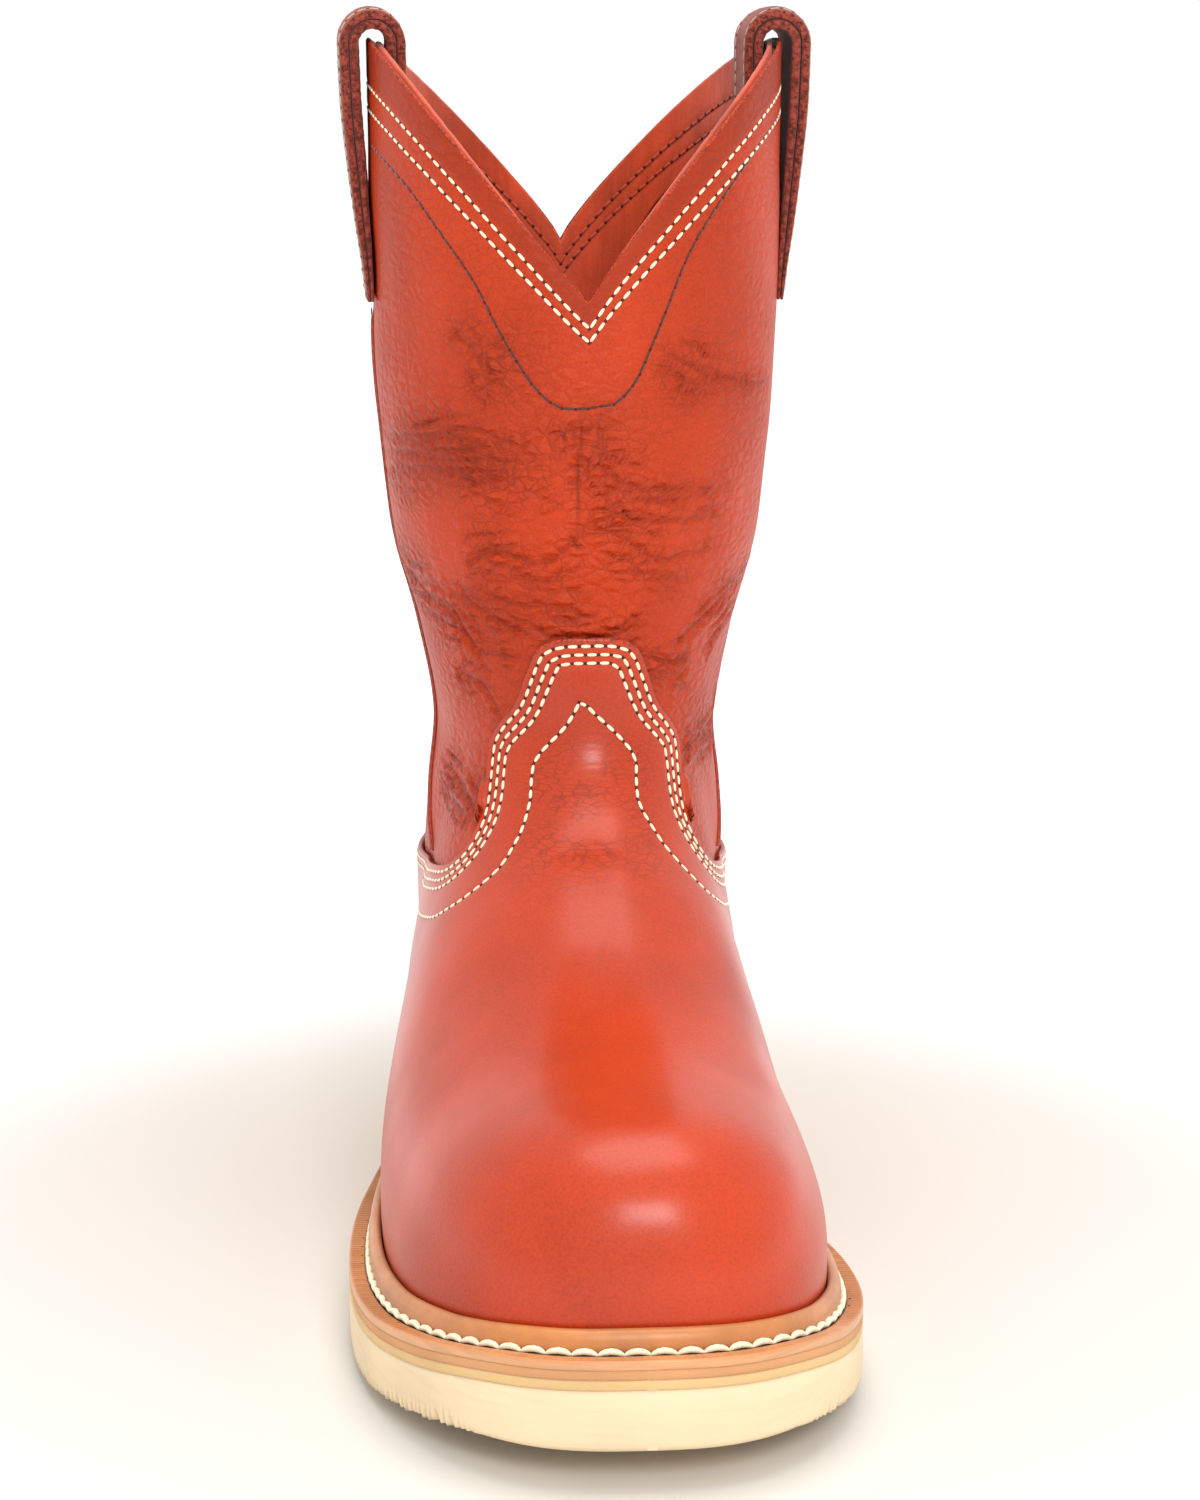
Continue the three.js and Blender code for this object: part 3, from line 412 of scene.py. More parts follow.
def make_lattice():
    """The boot's outer surface as a lattice of points with their outward directions."""
    up = np.linspace(0, 1, LATTICE_ROWS + 1)[:, None] + np.zeros((1, RAYS))
    angle = 2 * math.pi * np.arange(RAYS)[None, :] / RAYS + np.zeros_like(up)
    start_x = 4 * (1 - ease(0, 0.45, up))
    start_y = -FOOT_LENGTH * through(RINGS, "centre", up)

    def outside(reach):
        x, y = start_x + np.sin(angle) * reach, start_y - np.cos(angle) * reach
        return field(x, y, ring_height(up, x, y)) > 0

    far = np.full_like(up, 12.0)
    for _ in range(50):
        short = ~outside(far) & (far < FOOT_LENGTH)
        if not short.any():
            break
        far = np.where(short, far + 6, far)
    near = far - 6
    for _ in range(18):
        middle = (near + far) / 2
        out = outside(middle)
        far, near = np.where(out, middle, far), np.where(out, near, middle)
    x, y = start_x + np.sin(angle) * far, start_y - np.cos(angle) * far
    hits = np.stack([x, y, ring_height(up, x, y)], -1)
    points = np.zeros((LATTICE_ROWS + 1, LATTICE_COLUMNS, 3))
    half, rays = LATTICE_COLUMNS // 2, RAYS // 2
    for ring, hit in zip(points, hits):
        for side in (0, 1):
            run = hit[(side * rays + np.arange(rays + 1)) % RAYS]
            lengths = np.concatenate([[0], np.cumsum(np.hypot(*np.diff(run[:, :2], axis=0).T))])
            wanted = lengths[-1] * np.arange(half) / half
            for axis in range(3):
                ring[side * half : (side + 1) * half, axis] = np.interp(wanted, lengths, run[:, axis])
    around = np.roll(points, -1, 1) - np.roll(points, 1, 1)
    normals = np.cross(around, np.gradient(points, axis=0))
    return points, normals / np.linalg.norm(normals, axis=-1, keepdims=True)


POINTS, NORMALS = make_lattice()


def sample(grid, around, up):
    """A lattice value between its points, by a smooth curve through four each way."""
    column = np.mod(around, 1) * LATTICE_COLUMNS
    row = np.clip(up, 0, 1) * LATTICE_ROWS
    i = np.floor(column).astype(int)
    k = np.clip(np.floor(row).astype(int), 0, LATTICE_ROWS - 1)

    def weights(t):
        return (
            (-(t**3) + 2 * t**2 - t) / 2,
            (3 * t**3 - 5 * t**2 + 2) / 2,
            (-3 * t**3 + 4 * t**2 + t) / 2,
            (t**3 - t**2) / 2,
        )

    total = 0
    for step_up, weight_up in zip((-1, 0, 1, 2), weights(row - k)):
        rows = np.clip(k + step_up, 0, LATTICE_ROWS)
        for step, weight in zip((-1, 0, 1, 2), weights(column - i)):
            total = total + (weight_up * weight)[..., None] * grid[rows, (i + step) % LATTICE_COLUMNS]
    return total


def unit(vectors):
    return vectors / np.maximum(np.linalg.norm(vectors, axis=-1, keepdims=True), 1e-9)


def normal_at(around, up):
    """Outward direction on the wall, which lies level at the sole."""
    normal = sample(NORMALS, around, up)
    normal[..., 2] *= np.clip(up / FIRST_ROW, 0, 1)
    return unit(normal)


def place(around, up, off):
    """A place on the boot: around its girth, up the wall and off the surface."""
    around, up, off = np.broadcast_arrays(*(np.asarray(v, float) for v in (around, up, off)))
    point = sample(POINTS, around, up)
    lifted = np.clip(up / FIRST_ROW, 0, 1)
    seat = feather_height(point[..., 1])
    point = point + normal_at(around, up) * off[..., None]
    point[..., 2] += (feather_height(point[..., 1]) - seat) * (1 - lifted)
    point[..., 2] += GAP + (up - np.clip(up, 0, 1)) * BOOT_HEIGHT
    return point


def curve(nodes, steps=12):
    """A smooth line through rows of numbers, with so many steps from one to the next."""
    nodes = np.array(nodes, float)
    sizes = {"at": np.arange(len(nodes), dtype=float)}
    where = np.linspace(0, len(nodes) - 1, steps * (len(nodes) - 1) + 1)
    columns = []
    for column in nodes.T:
        columns.append(through({**sizes, "value": column}, "value", where))
    return np.stack(columns, -1)


def run_lengths(points):
    """Length along a line in space up to each of its points."""
    steps = np.linalg.norm(np.diff(points, axis=0), axis=1)
    return np.concatenate([[0], np.cumsum(steps)])


def between(points, where):
    """A line's point at a share of its index."""
    index = np.arange(len(points))
    return np.array([np.interp(where, index, column) for column in points.T])


def uneven(points, scale):
    """Smooth random heights at points in space, from about -1 to 1."""
    return np.array([noise.noise(Vector(p) * scale) for p in points])


def ruffled(around, up, fine, tall, seed):
    """Smooth random heights over the girth and up the wall, so fine round it and so tall up it."""
    return np.array([noise.noise(Vector((a * fine, u * tall, seed))) for a, u in zip(around, up)])


def beside(line, distance):
    """A line of around and up, moved sideways over the surface, to the left of its course."""
    step = 1e-3
    around, up = line[:, 0], line[:, 1]
    by_around = (place(around + step, up, 0) - place(around - step, up, 0)) / (2 * step)
    by_up = (place(around, up + step, 0) - place(around, up - step, 0)) / (2 * step)
    course = np.gradient(place(around, up, 0), axis=0)
    left = unit(np.cross(normal_at(around, up), course)) * distance
    a, b, c = (by_around * by_around).sum(-1), (by_around * by_up).sum(-1), (by_up * by_up).sum(-1)
    p, q = (left * by_around).sum(-1), (left * by_up).sum(-1)
    spread = a * c - b * b
    return line + np.stack([(p * c - q * b) / spread, (a * q - b * p) / spread], -1)


def nearest(line, points):
    """Distance from each point to a line in space, and the share of the line there."""
    best = np.full(len(points), 1e9)
    share = np.zeros(len(points))
    for n, (a, b) in enumerate(zip(line, line[1:])):
        run = b - a
        t = np.clip(((points - a) @ run) / max(run @ run, 1e-9), 0, 1)
        away = np.linalg.norm(points - a - t[:, None] * run, axis=1)
        share = np.where(away < best, (n + t) / (len(line) - 1), share)
        best = np.minimum(away, best)
    return best, share


def all_creases():
    """The main creases, and near each some shorter, shallower ones with short cracks between them."""
    draw = random.Random(11)
    lines = []
    for depth, width, nodes in SHAFT_CREASES:
        main = curve(nodes, 6)
        lines.append((depth, width, main))
        for _ in range(6):
            first = draw.uniform(0, 0.6)
            last = first + draw.uniform(0.25, 0.45)
            kept = main[int(first * len(main)) : int(last * len(main))]
            if len(kept) < 4:
                continue
            shift = draw.choice((-1, 1)) * draw.uniform(1.5, 6.0)
            swing, start, turn = draw.uniform(0.3, 1.0), draw.uniform(0, 6), draw.uniform(0.5, 1.1)
            sway = swing * np.sin(start + np.arange(len(kept)) * turn)
            lines.append((depth * draw.uniform(0.4, 0.75), 0.8, beside(kept, (shift + sway)[:, None])))
        for _ in range(9):
            spot = draw.randrange(1, len(main) - 1)
            reach = draw.choice((-1, 1)) * draw.uniform(1.6, 3.4)
            ahead = main[spot - 1 : spot + 2]
            far = beside(ahead, reach)[draw.choice((0, 1, 2))]
            crack = np.stack([ahead[1], (ahead[1] + far) / 2, far])
            lines.append((depth * draw.uniform(0.3, 0.6), 0.6, crack))
    return lines


CREASES = all_creases()


def shaft_relief(around, up, strength):
    """The shaft's creases and soft bulges over its plain form: their height in millimetres, the painted
    shade in them, and how near they are."""
    around, up = np.broadcast_arrays(np.asarray(around, float), np.asarray(up, float))
    shape = around.shape
    folded = (around.ravel() + 0.5) % 1 - 0.5
    heights = up.ravel()
    points = place(folded, heights, 0)
    relief, dark, near = np.zeros((3, len(points)))
    for depth, width, line in CREASES:
        low, high = line.min(0) - (0.03, 0.03), line.max(0) + (0.03, 0.03)
        close = (folded > low[0]) & (folded < high[0]) & (heights > low[1]) & (heights < high[1])
        if not close.any():
            continue
        away, share = nearest(place(line[:, 0], line[:, 1], 0), points[close])
        fade = np.sin(math.pi * np.clip(share, 0.04, 0.96)) ** 0.5
        half = 0.72 * width
        trough = -np.exp(-((away / half) ** 2))
        ridge = 0.4 * np.exp(-(((away - 2.0 * half) / (1.1 * half)) ** 2))
        relief[close] += depth * strength * fade * (trough + ridge)
        # painted shade: darker colour along each crease's trough, where shade falls
        shade = fade * min(depth * 1.3, 1) * np.exp(-((away / 0.45) ** 2))
        dark[close] = np.maximum(dark[close], shade)
        near[close] = np.maximum(near[close], fade * np.exp(-((away / 6.0) ** 2)))
    soft = uneven(points, 0.035)
    band = ease(0.40, 0.55, heights) * (1 - ease(0.93, 0.97, heights))
    below = 1 - ease(0.93, 0.965, heights)
    relief = np.maximum(relief, -1.0) * below + 0.9 * soft * band
    return relief.reshape(shape), (dark * below * min(strength, 1)).reshape(shape), near.reshape(shape)


def vamp_relief(around, up):
    """The soft unevenness of vamp and counter, in millimetres."""
    return 0.35 * uneven(place(around, up, 0), 0.03) * ease(0.05, 0.2, up)


def metres(points):
    """Points of the part's own millimetres in Blender's metres, in the frame's place."""
    return (np.asarray(points) + (0, FRAME_SHIFT, 0)) * MM


# Materials


class Shade:
    """A number inside a material: arithmetic on it adds Math nodes."""

    def __init__(self, finish, socket):
        self.finish, self.socket = finish, socket

    def maths(self, operation, first, second):
        return self.finish.node("ShaderNodeMath", {"operation": operation}, {0: first, 1: second})

    def __add__(self, other):
        return self.maths("ADD", self, other)

    def __rsub__(self, other):
        return self.maths("SUBTRACT", other, self)

    def __mul__(self, other):
        return self.maths("MULTIPLY", self, other)

    __radd__ = __add__
    __rmul__ = __mul__


class Finish:
    """One material while it is put together."""

    def __init__(self, name, **fixed):
        self.material = bpy.data.materials.new(name)
        self.material.use_nodes = True
        self.tree = self.material.node_tree
        self.shader = next(n for n in self.tree.nodes if n.type == "BSDF_PRINCIPLED")
        for socket, value in fixed.items():
            self.shader.inputs[socket.replace("_", " ")].default_value = value

    def node(self, kind, settings=None, links=None, out=0):
        """Adds a node: its settings first, then the values or links of its sockets."""
        node = self.tree.nodes.new(kind)
        for key, value in (settings or {}).items():
            if key == "stops":
                ramp = node.color_ramp.elements
                while len(ramp) < len(value):
                    ramp.new(0.5)
                for element, (position, colour) in zip(ramp, value):
                    element.position, element.color = position, (*colour, 1)
            else:
                setattr(node, key, value)
        for key, value in (links or {}).items():
            if isinstance(value, Shade):
                self.tree.links.new(value.socket, node.inputs[key])
            elif value is not None:
                node.inputs[key].default_value = value
        return Shade(self, node.outputs[out])

    def place(self, scale=(1, 1, 1), turn=(0, 0, 0)):
        """Object coordinates in metres, stretched and turned."""
        where = self.node("ShaderNodeTexCoord", out="Object")
        return self.node("ShaderNodeMapping", None, {"Vector": where, "Scale": scale, "Rotation": turn})

    def noise(self, scale, detail=3, where=None, rough=0.55, warp=0.0):
        links = {"Vector": where or self.place(), "Scale": scale, "Detail": detail}
        links.update({"Roughness": rough, "Distortion": warp})
        return self.node("ShaderNodeTexNoise", None, links)

    def cells(self, scale, feature="F1", where=None, chaos=1.0):
        links = {"Vector": where or self.place(), "Scale": scale, "Randomness": chaos}
        return self.node("ShaderNodeTexVoronoi", {"feature": feature}, links, "Distance")

    def attribute(self, name):
        return self.node("ShaderNodeAttribute", {"attribute_name": name}, out="Fac")

    def span(self, value, low, high, to_low=0.0, to_high=1.0):
        """A value's range from low to high, carried to another range with soft ends."""
        links = {"Value": value, "From Min": low, "From Max": high, "To Min": to_low, "To Max": to_high}
        return self.node("ShaderNodeMapRange", {"interpolation_type": "SMOOTHSTEP"}, links)

    def blend(self, share, first, second):
        """Mixes two colours."""
        first, second = ((*c, 1) if isinstance(c, tuple) else c for c in (first, second))
        return self.node("ShaderNodeMix", {"data_type": "RGBA"}, {0: share, 6: first, 7: second}, 2)

    def warped(self, amount, scale, where=None):
        """Object coordinates pushed about by noise, so that a pattern runs unevenly."""
        where = where or self.place()
        links = {"Vector": where, "Scale": scale, "Detail": 2.0}
        push = self.node("ShaderNodeTexNoise", None, links, "Color")
        links = {0: push, 1: (0.5, 0.5, 0.5)}
        level = self.node("ShaderNodeVectorMath", {"operation": "SUBTRACT"}, links)
        scaled = self.node("ShaderNodeVectorMath", {"operation": "SCALE"}, {0: level, "Scale": amount})
        return self.node("ShaderNodeVectorMath", {"operation": "ADD"}, {0: where, 1: scaled})

    def finish(self, colour, roughness=None, bumps=(), coat=None):
        """Links what changes over the surface. bumps are (height 0 to 1, depth in metres, strength)."""
        inputs = self.shader.inputs
        self.tree.links.new(colour.socket, inputs["Base Color"])
        for name, value in (("Roughness", roughness), ("Coat Weight", coat)):
            if value is not None:
                self.tree.links.new(value.socket, inputs[name])
        normal = None
        for height, depth, strength in bumps:
            links = {"Height": height, "Distance": depth, "Strength": strength, "Normal": normal}
            normal = self.node("ShaderNodeBump", None, links)
        if normal is not None:
            self.tree.links.new(normal.socket, inputs["Normal"])
        return self.material


SLIP_SOLE_COLOUR = rgb("DCB682")
INSOLE_COLOUR = rgb("C4956A")


def tone(colour, share):
    """A colour made darker or lighter by one number."""
    return tuple(min(c * share, 1.0) for c in colour)


def upper_finish(name, colour, edge, pebble):
    """Oiled red leather: pebbled on the shaft, smooth on vamp and counter."""
    f = Finish(name, Specular_IOR_Level=0.2, Coat_Weight=0.05 if pebble else 0.38,
               Coat_Roughness=0.42 if pebble else 0.24)
    broad = f.noise(19, 3)
    grain = f.noise(1500, 3, rough=0.7)
    pores = f.cells(1500)
    body = f.blend(f.span(broad, 0.3, 0.7), tone(colour, 0.84), tone(colour, 1.14))
    body = f.blend(f.span(grain, 0.35, 0.7) * 0.22, body, tone(colour, 1.7))
    body = f.blend((1 - f.span(grain, 0.3, 0.5)) * 0.22, body, tone(colour, 0.5))
    if pebble:
        near = f.span(f.attribute("near"), 0.0, 1.0)
        patch = f.span(f.noise(26, 2), 0.35, 0.65)
        where = near * 0.55 + patch * 0.38 + 0.10
        drawn = f.warped(0.0016, 140, f.place((0.60, 0.60, 1.0)))
        valleys = f.cells(340, "DISTANCE_TO_EDGE", drawn, 0.9)
        small = f.cells(800, "DISTANCE_TO_EDGE", f.warped(0.0010, 400, f.place((0.75, 0.75, 1.0))))
        lines = (1 - f.span(valleys, 0.0, 0.075)) * where
        crackle = (1 - f.span(small, 0.0, 0.12)) * (where * 0.6 + 0.15)
        # painted shade: the leather darkens along the creases' troughs
        crease = f.attribute("crease")
        body = f.blend(crackle * 0.22, body, tone(colour, 0.45))
        body = f.blend(lines * 0.60, body, tone(colour, 0.32))
        body = f.blend(crease * 0.68, body, tone(colour, 0.26))
        rounds = f.span(valleys, 0.0, 0.42)
        pillow = f.span(small, 0.0, 0.5)
        bumps = [(grain, 0.00016, 0.3), (pores, 0.0001, 0.3),
                 (pillow * (where * 0.7 + 0.3), 0.00022, 0.6), (rounds * where, 0.0011, 0.9)]
        rough = f.span(broad, 0.3, 0.7, 0.52, 0.44)
    else:
        flex = f.attribute("flex")
        cells = f.cells(1000, "DISTANCE_TO_EDGE", f.warped(0.0010, 300, f.place((0.26, 0.26, 1.0))))
        patch = f.span(f.noise(60, 2), 0.35, 0.55)
        line = (1 - f.span(cells, 0.0, 0.14)) * flex * patch
        body = f.blend(line * 0.5, body, tone(colour, 0.38))
        slanted = f.place((1.0, 1.0, 3.2), (0.4, 0.9, 0.2))
        scratch = f.span(f.cells(75, "DISTANCE_TO_EDGE", slanted), 0.0, 0.006)
        worn = (1 - scratch) * f.span(f.noise(30, 2), 0.55, 0.68)
        body = f.blend(worn * 0.3, body, tone(colour, 2.0))
        bumps = [(grain, 0.00008, 0.25), (pores, 0.00010, 0.4), (line, 0.0003, -0.7)]
        rough = f.span(broad, 0.3, 0.7, 0.46, 0.38)
    rim = f.attribute("rim")
    fuzz = f.noise(1800, 3, f.warped(0.0016, 300))
    raw = f.blend(f.span(fuzz, 0.4, 0.65), edge, tone(colour, 1.5))
    body = f.blend(f.attribute("band") * 0.45, body, tone(colour, 0.45))
    body = f.blend(rim, body, raw)
    bumps.append((fuzz * rim, 0.0004, 0.8))
    return f.finish(body, rough, bumps)


def lining_finish(name, colour):
    f = Finish(name, Sheen_Weight=0.2, Specular_IOR_Level=0.35)
    broad = f.noise(45, 4)
    pulled = f.noise(420, 3, f.place((1.0, 1.0, 0.16)), warp=0.5)
    body = f.blend(f.span(broad, 0.3, 0.7), tone(colour, 0.72), tone(colour, 1.2))
    body = f.blend(f.span(pulled, 0.35, 0.65) * 0.3, body, tone(colour, 0.5))
    pores = f.cells(1300)
    rough = f.span(broad, 0.3, 0.7, 0.62, 0.5)
    return f.finish(body, rough, [(pulled, 0.0004, 0.5), (pores, 0.0001, 0.4)])


def strap_finish(name, colour, edge):
    f = Finish(name, Sheen_Weight=0.1, Specular_IOR_Level=0.25)
    rim = f.attribute("rim")
    hair = f.noise(900, 4, f.place((1.0, 0.35, 1.0)), rough=0.7)
    fibre = f.noise(2600, 2)
    face = f.blend(f.span(f.noise(60, 3), 0.3, 0.7), tone(colour, 0.8), tone(colour, 1.2))
    cut = f.blend(f.span(hair, 0.38, 0.62), tone(edge, 0.55), tone(edge, 2.1))
    body = f.blend(rim, face, cut)
    height = (hair * 0.7 + fibre * 0.3) * (rim * 0.8 + 0.2)
    return f.finish(body, f.span(hair, 0.3, 0.7, 0.9, 0.65), [(height, 0.0007, 0.8)])


def thread_finish(name, colour):
    f = Finish(name, Sheen_Weight=0.4, Specular_IOR_Level=0.4)
    twist = f.noise(3200, 2, f.place((1.0, 1.0, 0.6), (0.6, 0.5, 0.7)))
    body = f.blend(f.span(twist, 0.35, 0.65), tone(colour, 0.84), colour)
    return f.finish(body, f.span(twist, 0.3, 0.7, 0.75, 0.55), [(twist, 0.0002, 0.45)])


# Painted shade: near-black blobs stand for the needle holes, which look dark only from the shade inside
# them
def hole_shade_finish(name, colour):
    f = Finish(name)
    body = f.blend(f.noise(900, 2), tone(colour, 0.10), tone(colour, 0.22))
    return f.finish(body, f.span(f.noise(500), 0.3, 0.7, 0.9, 0.75))


def welt_finish(name, colour, ribs, edge=None):
    """Tan vegetable-tanned leather, with painted shade down in the stitch groove and between the ribs.
    """
    f = Finish(name, Coat_Weight=0.25, Coat_Roughness=0.35, Sheen_Weight=0.1)
    broad = f.noise(60, 4)
    streak = f.noise(240, 3, f.place((1.0, 1.0, 3.0)))
    body = f.blend(f.span(broad, 0.3, 0.7), tone(colour, 0.86), tone(colour, 1.1))
    body = f.blend(f.span(streak, 0.4, 0.7) * 0.3, body, tone(colour, 0.7))
    if ribs:
        streaks = f.noise(500, 3, f.place((0.10, 0.10, 1.0)))
        side = f.blend(f.span(streaks, 0.35, 0.65), tone(edge, 0.92), tone(edge, 1.08))
        body = f.blend(f.attribute("side"), body, side)
        # painted shade from the dark attribute: deep in the stitch groove, between the ribs and on the
        # roll's inner side, with a slightly darker tone of the leather over the roll's top
        body = f.blend(f.attribute("dark"), body, tone(colour, 0.22))
    pores = f.cells(1700)
    rough = f.span(broad, 0.3, 0.7, 0.48, 0.36)
    return f.finish(body, rough, [(pores, 0.00008, 0.3), (streak, 0.0001, 0.3)])


def edge_finish(name, colour, dark, light):
    """The trimmed edge of a sole layer, with fine lines along it."""
    f = Finish(name, Subsurface_Weight=0.25, Subsurface_Scale=0.004,
               Subsurface_Radius=(1.0, 0.7, 0.4), Specular_IOR_Level=0.3)
    lines = f.noise(700, 3, f.place((0.06, 0.06, 1.0)))
    crumb = f.noise(1900, 3)
    broad = f.noise(40, 3)
    body = f.blend(f.span(broad, 0.3, 0.7), tone(colour, dark), tone(colour, light))
    body = f.blend(f.span(lines, 0.5, 0.7) * 0.25, body, tone(colour, 0.8))
    rough = f.span(crumb, 0.3, 0.7, 0.78, 0.62)
    return f.finish(body, rough, [(crumb, 0.0002, 0.35), (lines, 0.00015, 0.4)])


# Mesh building


def sheet(name, columns, rows, shape, material, replaces=(), closed=False, caps=False):
    """A grid laid where shape says. shape takes shares along and up the grid, and gives points in the
    part's millimetres and a dictionary of numbers to keep at the vertices."""
    bm = bmesh.new()
    bm.loops.layers.uv.new("UVMap")
    bmesh.ops.create_grid(bm, x_segments=columns, y_segments=rows, size=0.5, calc_uvs=True)
    bm.verts.ensure_lookup_table()
    shares = np.array([v.co[:2] for v in bm.verts]) + 0.5
    points, layers = shape(shares[:, 0], shares[:, 1])
    kept = {key: bm.verts.layers.float.new(key) for key in layers}
    for n, (vert, point) in enumerate(zip(bm.verts, metres(points))):
        vert.co = point
        for key, layer in kept.items():
            vert[layer] = layers[key][n]
    bmesh.ops.remove_doubles(bm, verts=bm.verts, dist=1e-6)
    bmesh.ops.dissolve_degenerate(bm, edges=bm.edges, dist=1e-7)
    if caps:
        bmesh.ops.holes_fill(bm, edges=bm.edges, sides=0)
    if closed:
        bmesh.ops.recalc_face_normals(bm, faces=bm.faces)
    return finished(name, bm, [material], replaces)


def finished(name, bm, materials, replaces=()):
    """Turns a bmesh into a piece of the boot."""
    mesh = bpy.data.meshes.new(name)
    bm.to_mesh(mesh)
    bm.free()
    for material in materials:
        mesh.materials.append(material)
    mesh.shade_smooth()
    piece = bpy.data.objects.new(name, mesh)
    bpy.context.scene.collection.objects.link(piece)
    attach(piece, BODY)
    if replaces:
        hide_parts(*replaces)
    return piece


def thicken(piece, thickness):
    """Gives a one-sided skin its wall, inwards."""
    wall = piece.modifiers.new("Wall", "SOLIDIFY")
    wall.thickness = thickness * MM
    wall.offset = -1
    wall.use_even_offset = False


def section_rows(shares, rows):
    """The value at each share of a grid whose rows are given as a list."""
    rows = np.array(rows, float)
    at = shares * (len(rows) - 1)
    return [np.interp(at, np.arange(len(rows)), column) for column in rows.T]


def grain_of_thread(segments=8, rings=6):
    """One stitch: a small rounded grain along X."""
    bm = bmesh.new()
    bmesh.ops.create_uvsphere(bm, u_segments=segments, v_segments=rings, radius=1.0)
    bmesh.ops.rotate(bm, verts=bm.verts, matrix=Matrix.Rotation(math.pi / 2, 3, "Y"))
    for vert in bm.verts:
        vert.co.x = math.copysign(abs(vert.co.x) ** 0.75, vert.co.x)
    mesh = bpy.data.meshes.new("grain")
    bm.to_mesh(mesh)
    bm.free()
    return mesh


def discard(*meshes):
    """Removes the small shapes once every row has its copies."""
    for mesh in meshes:
        bpy.data.meshes.remove(mesh)


def along_line(points, pitch):
    """Shares of a line's own index at equal lengths along it, and how many steps there are."""
    lengths = run_lengths(points)
    count = max(int(round(lengths[-1] / pitch)), 1)
    return np.interp(np.linspace(0, lengths[-1], count + 1), lengths, np.arange(len(points))), count


def stitch_row(bm, grain, hole, line, off, pitch, width, rise=0.62, fill=0.76):
    """Adds a row of stitches along a line of around and up, with a dark blob of painted shade at each
    needle hole.
    off gives the leather's height there."""
    points = place(line[:, 0], line[:, 1], off(line[:, 0], line[:, 1]))
    normals = normal_at(line[:, 0], line[:, 1])
    shares, count = along_line(points, pitch)
    for n in range(count):
        start, end = between(points, shares[n]), between(points, shares[n + 1])
        out = Vector(unit(between(normals, (shares[n] + shares[n + 1]) / 2)))
        run = Vector(end - start)
        length = run.length
        if length < 1e-6:
            continue
        run.normalize()
        side = out.cross(run).normalized()
        centre = Vector((start + end) / 2)
        wander = 0.05 * width * math.sin(7.3 * n)
        axes = (run, side, out)
        size = (length * fill / 2, width / 2, width * rise / 2)
        stamp(bm, grain, centre + out * width * 0.10 + side * wander, axes, size, THREAD)
        # painted shade: a dark blob at the needle hole where each stitch starts
        stamp(bm, hole, start, axes, (width * 0.60, width * 0.54, width * 0.22), HOLE)


def stamp(bm, mesh, point, axes, size, material):
    """Adds a copy of a small mesh to a bmesh: its place, its axes and its size in millimetres."""
    turn = Matrix(axes).transposed().to_4x4()
    matrix = Matrix.Translation(Vector(metres(point))) @ turn @ Matrix.Diagonal((*size, 1))
    first = len(bm.verts)
    faces = len(bm.faces)
    bm.from_mesh(mesh)
    bm.verts.ensure_lookup_table()
    bm.faces.ensure_lookup_table()
    place_at, turned = matrix.to_translation(), matrix.to_3x3()
    for vert in bm.verts[first:]:
        vert.co = place_at + (turned @ vert.co) * MM
    for face in bm.faces[faces:]:
        face.material_index = material


def mirrored(nodes):
    """A table of the medial side as one line from the lateral end over the front to the medial end."""
    half = np.array(nodes, float)
    return np.concatenate([half[:0:-1] * (-1, 1), half])


def vamp_edge_line(steps=6):
    """The vamp's top edge from the lateral joint over the tongue to the medial joint."""
    at = np.linspace(0, VAMP_NODES, VAMP_NODES * steps + 1)
    return mirrored(np.stack([through(VAMP_EDGE, "around", at), through(VAMP_EDGE, "up", at)], -1))


def joint_tables():
    """The side joint between vamp and counter: its share of the girth at heights up the wall."""
    ups = np.linspace(0, JOINT_TOP, 60)
    wanted = -FOOT_LENGTH * mix(0.40, 0.30, ups / JOINT_TOP)
    found = {}
    for sign in (1, -1):
        near, far = np.full(60, 0.1), np.full(60, 0.4)
        for _ in range(24):
            middle = (near + far) / 2
            ahead = sample(POINTS, sign * middle, ups)[:, 1] < wanted
            near, far = np.where(ahead, middle, near), np.where(ahead, far, middle)
        found[sign] = near
    return ups, found


JOINT_UPS, JOINTS = joint_tables()


def joint_around(up, sign):
    """The joint's share of the girth, for arrays of heights and sides."""
    up = np.clip(up, 0, JOINT_TOP)
    return np.where(
        sign > 0, np.interp(up, JOINT_UPS, JOINTS[1]), np.interp(up, JOINT_UPS, JOINTS[-1]))


# The pieces


# Depths off the surface in millimetres: the shaft leather's inner side, the lining's outer side, the
# vamp's outer side, and how far the shaft steps in where the vamp covers it
SHAFT_SKIN = 1.2
LINING_BACK = -SHAFT_SKIN - 0.05
SKIN_TOP = GAP + OVERLAY_WALL
UNDER_VAMP = 0.8
FACING_OFF = -UPPER_WALL - GAP
STITCH_SINK = 0.2
# Heights up the wall: the collar's two stitch rows, the start of the shaft that shows, the rows of the
# sides that are hidden, and the top of the vamp's even base
STITCHED_UPS = (0.979, 0.967)
SHOWN_UP = 0.40
HIDDEN_UPS = (0.97, 0.88, 0.79, 0.70, 0.61, 0.54, *np.linspace(0.50, 0.18, 23), 0.12, 0.06, 0.0)
VAMP_BASE = 0.36
# How grids are spaced: the share of the vamp's rows in its base, the columns at the shaft's front
# against an even spacing, and how strongly the sole's columns crowd at toe and heel
VAMP_BASE_ROWS = 0.42
FRONT_SPACING = 0.72
CROWDING = 0.45
# Open slit at the vamp's side joint, as a share of the girth
JOINT_SLIT = 0.0004
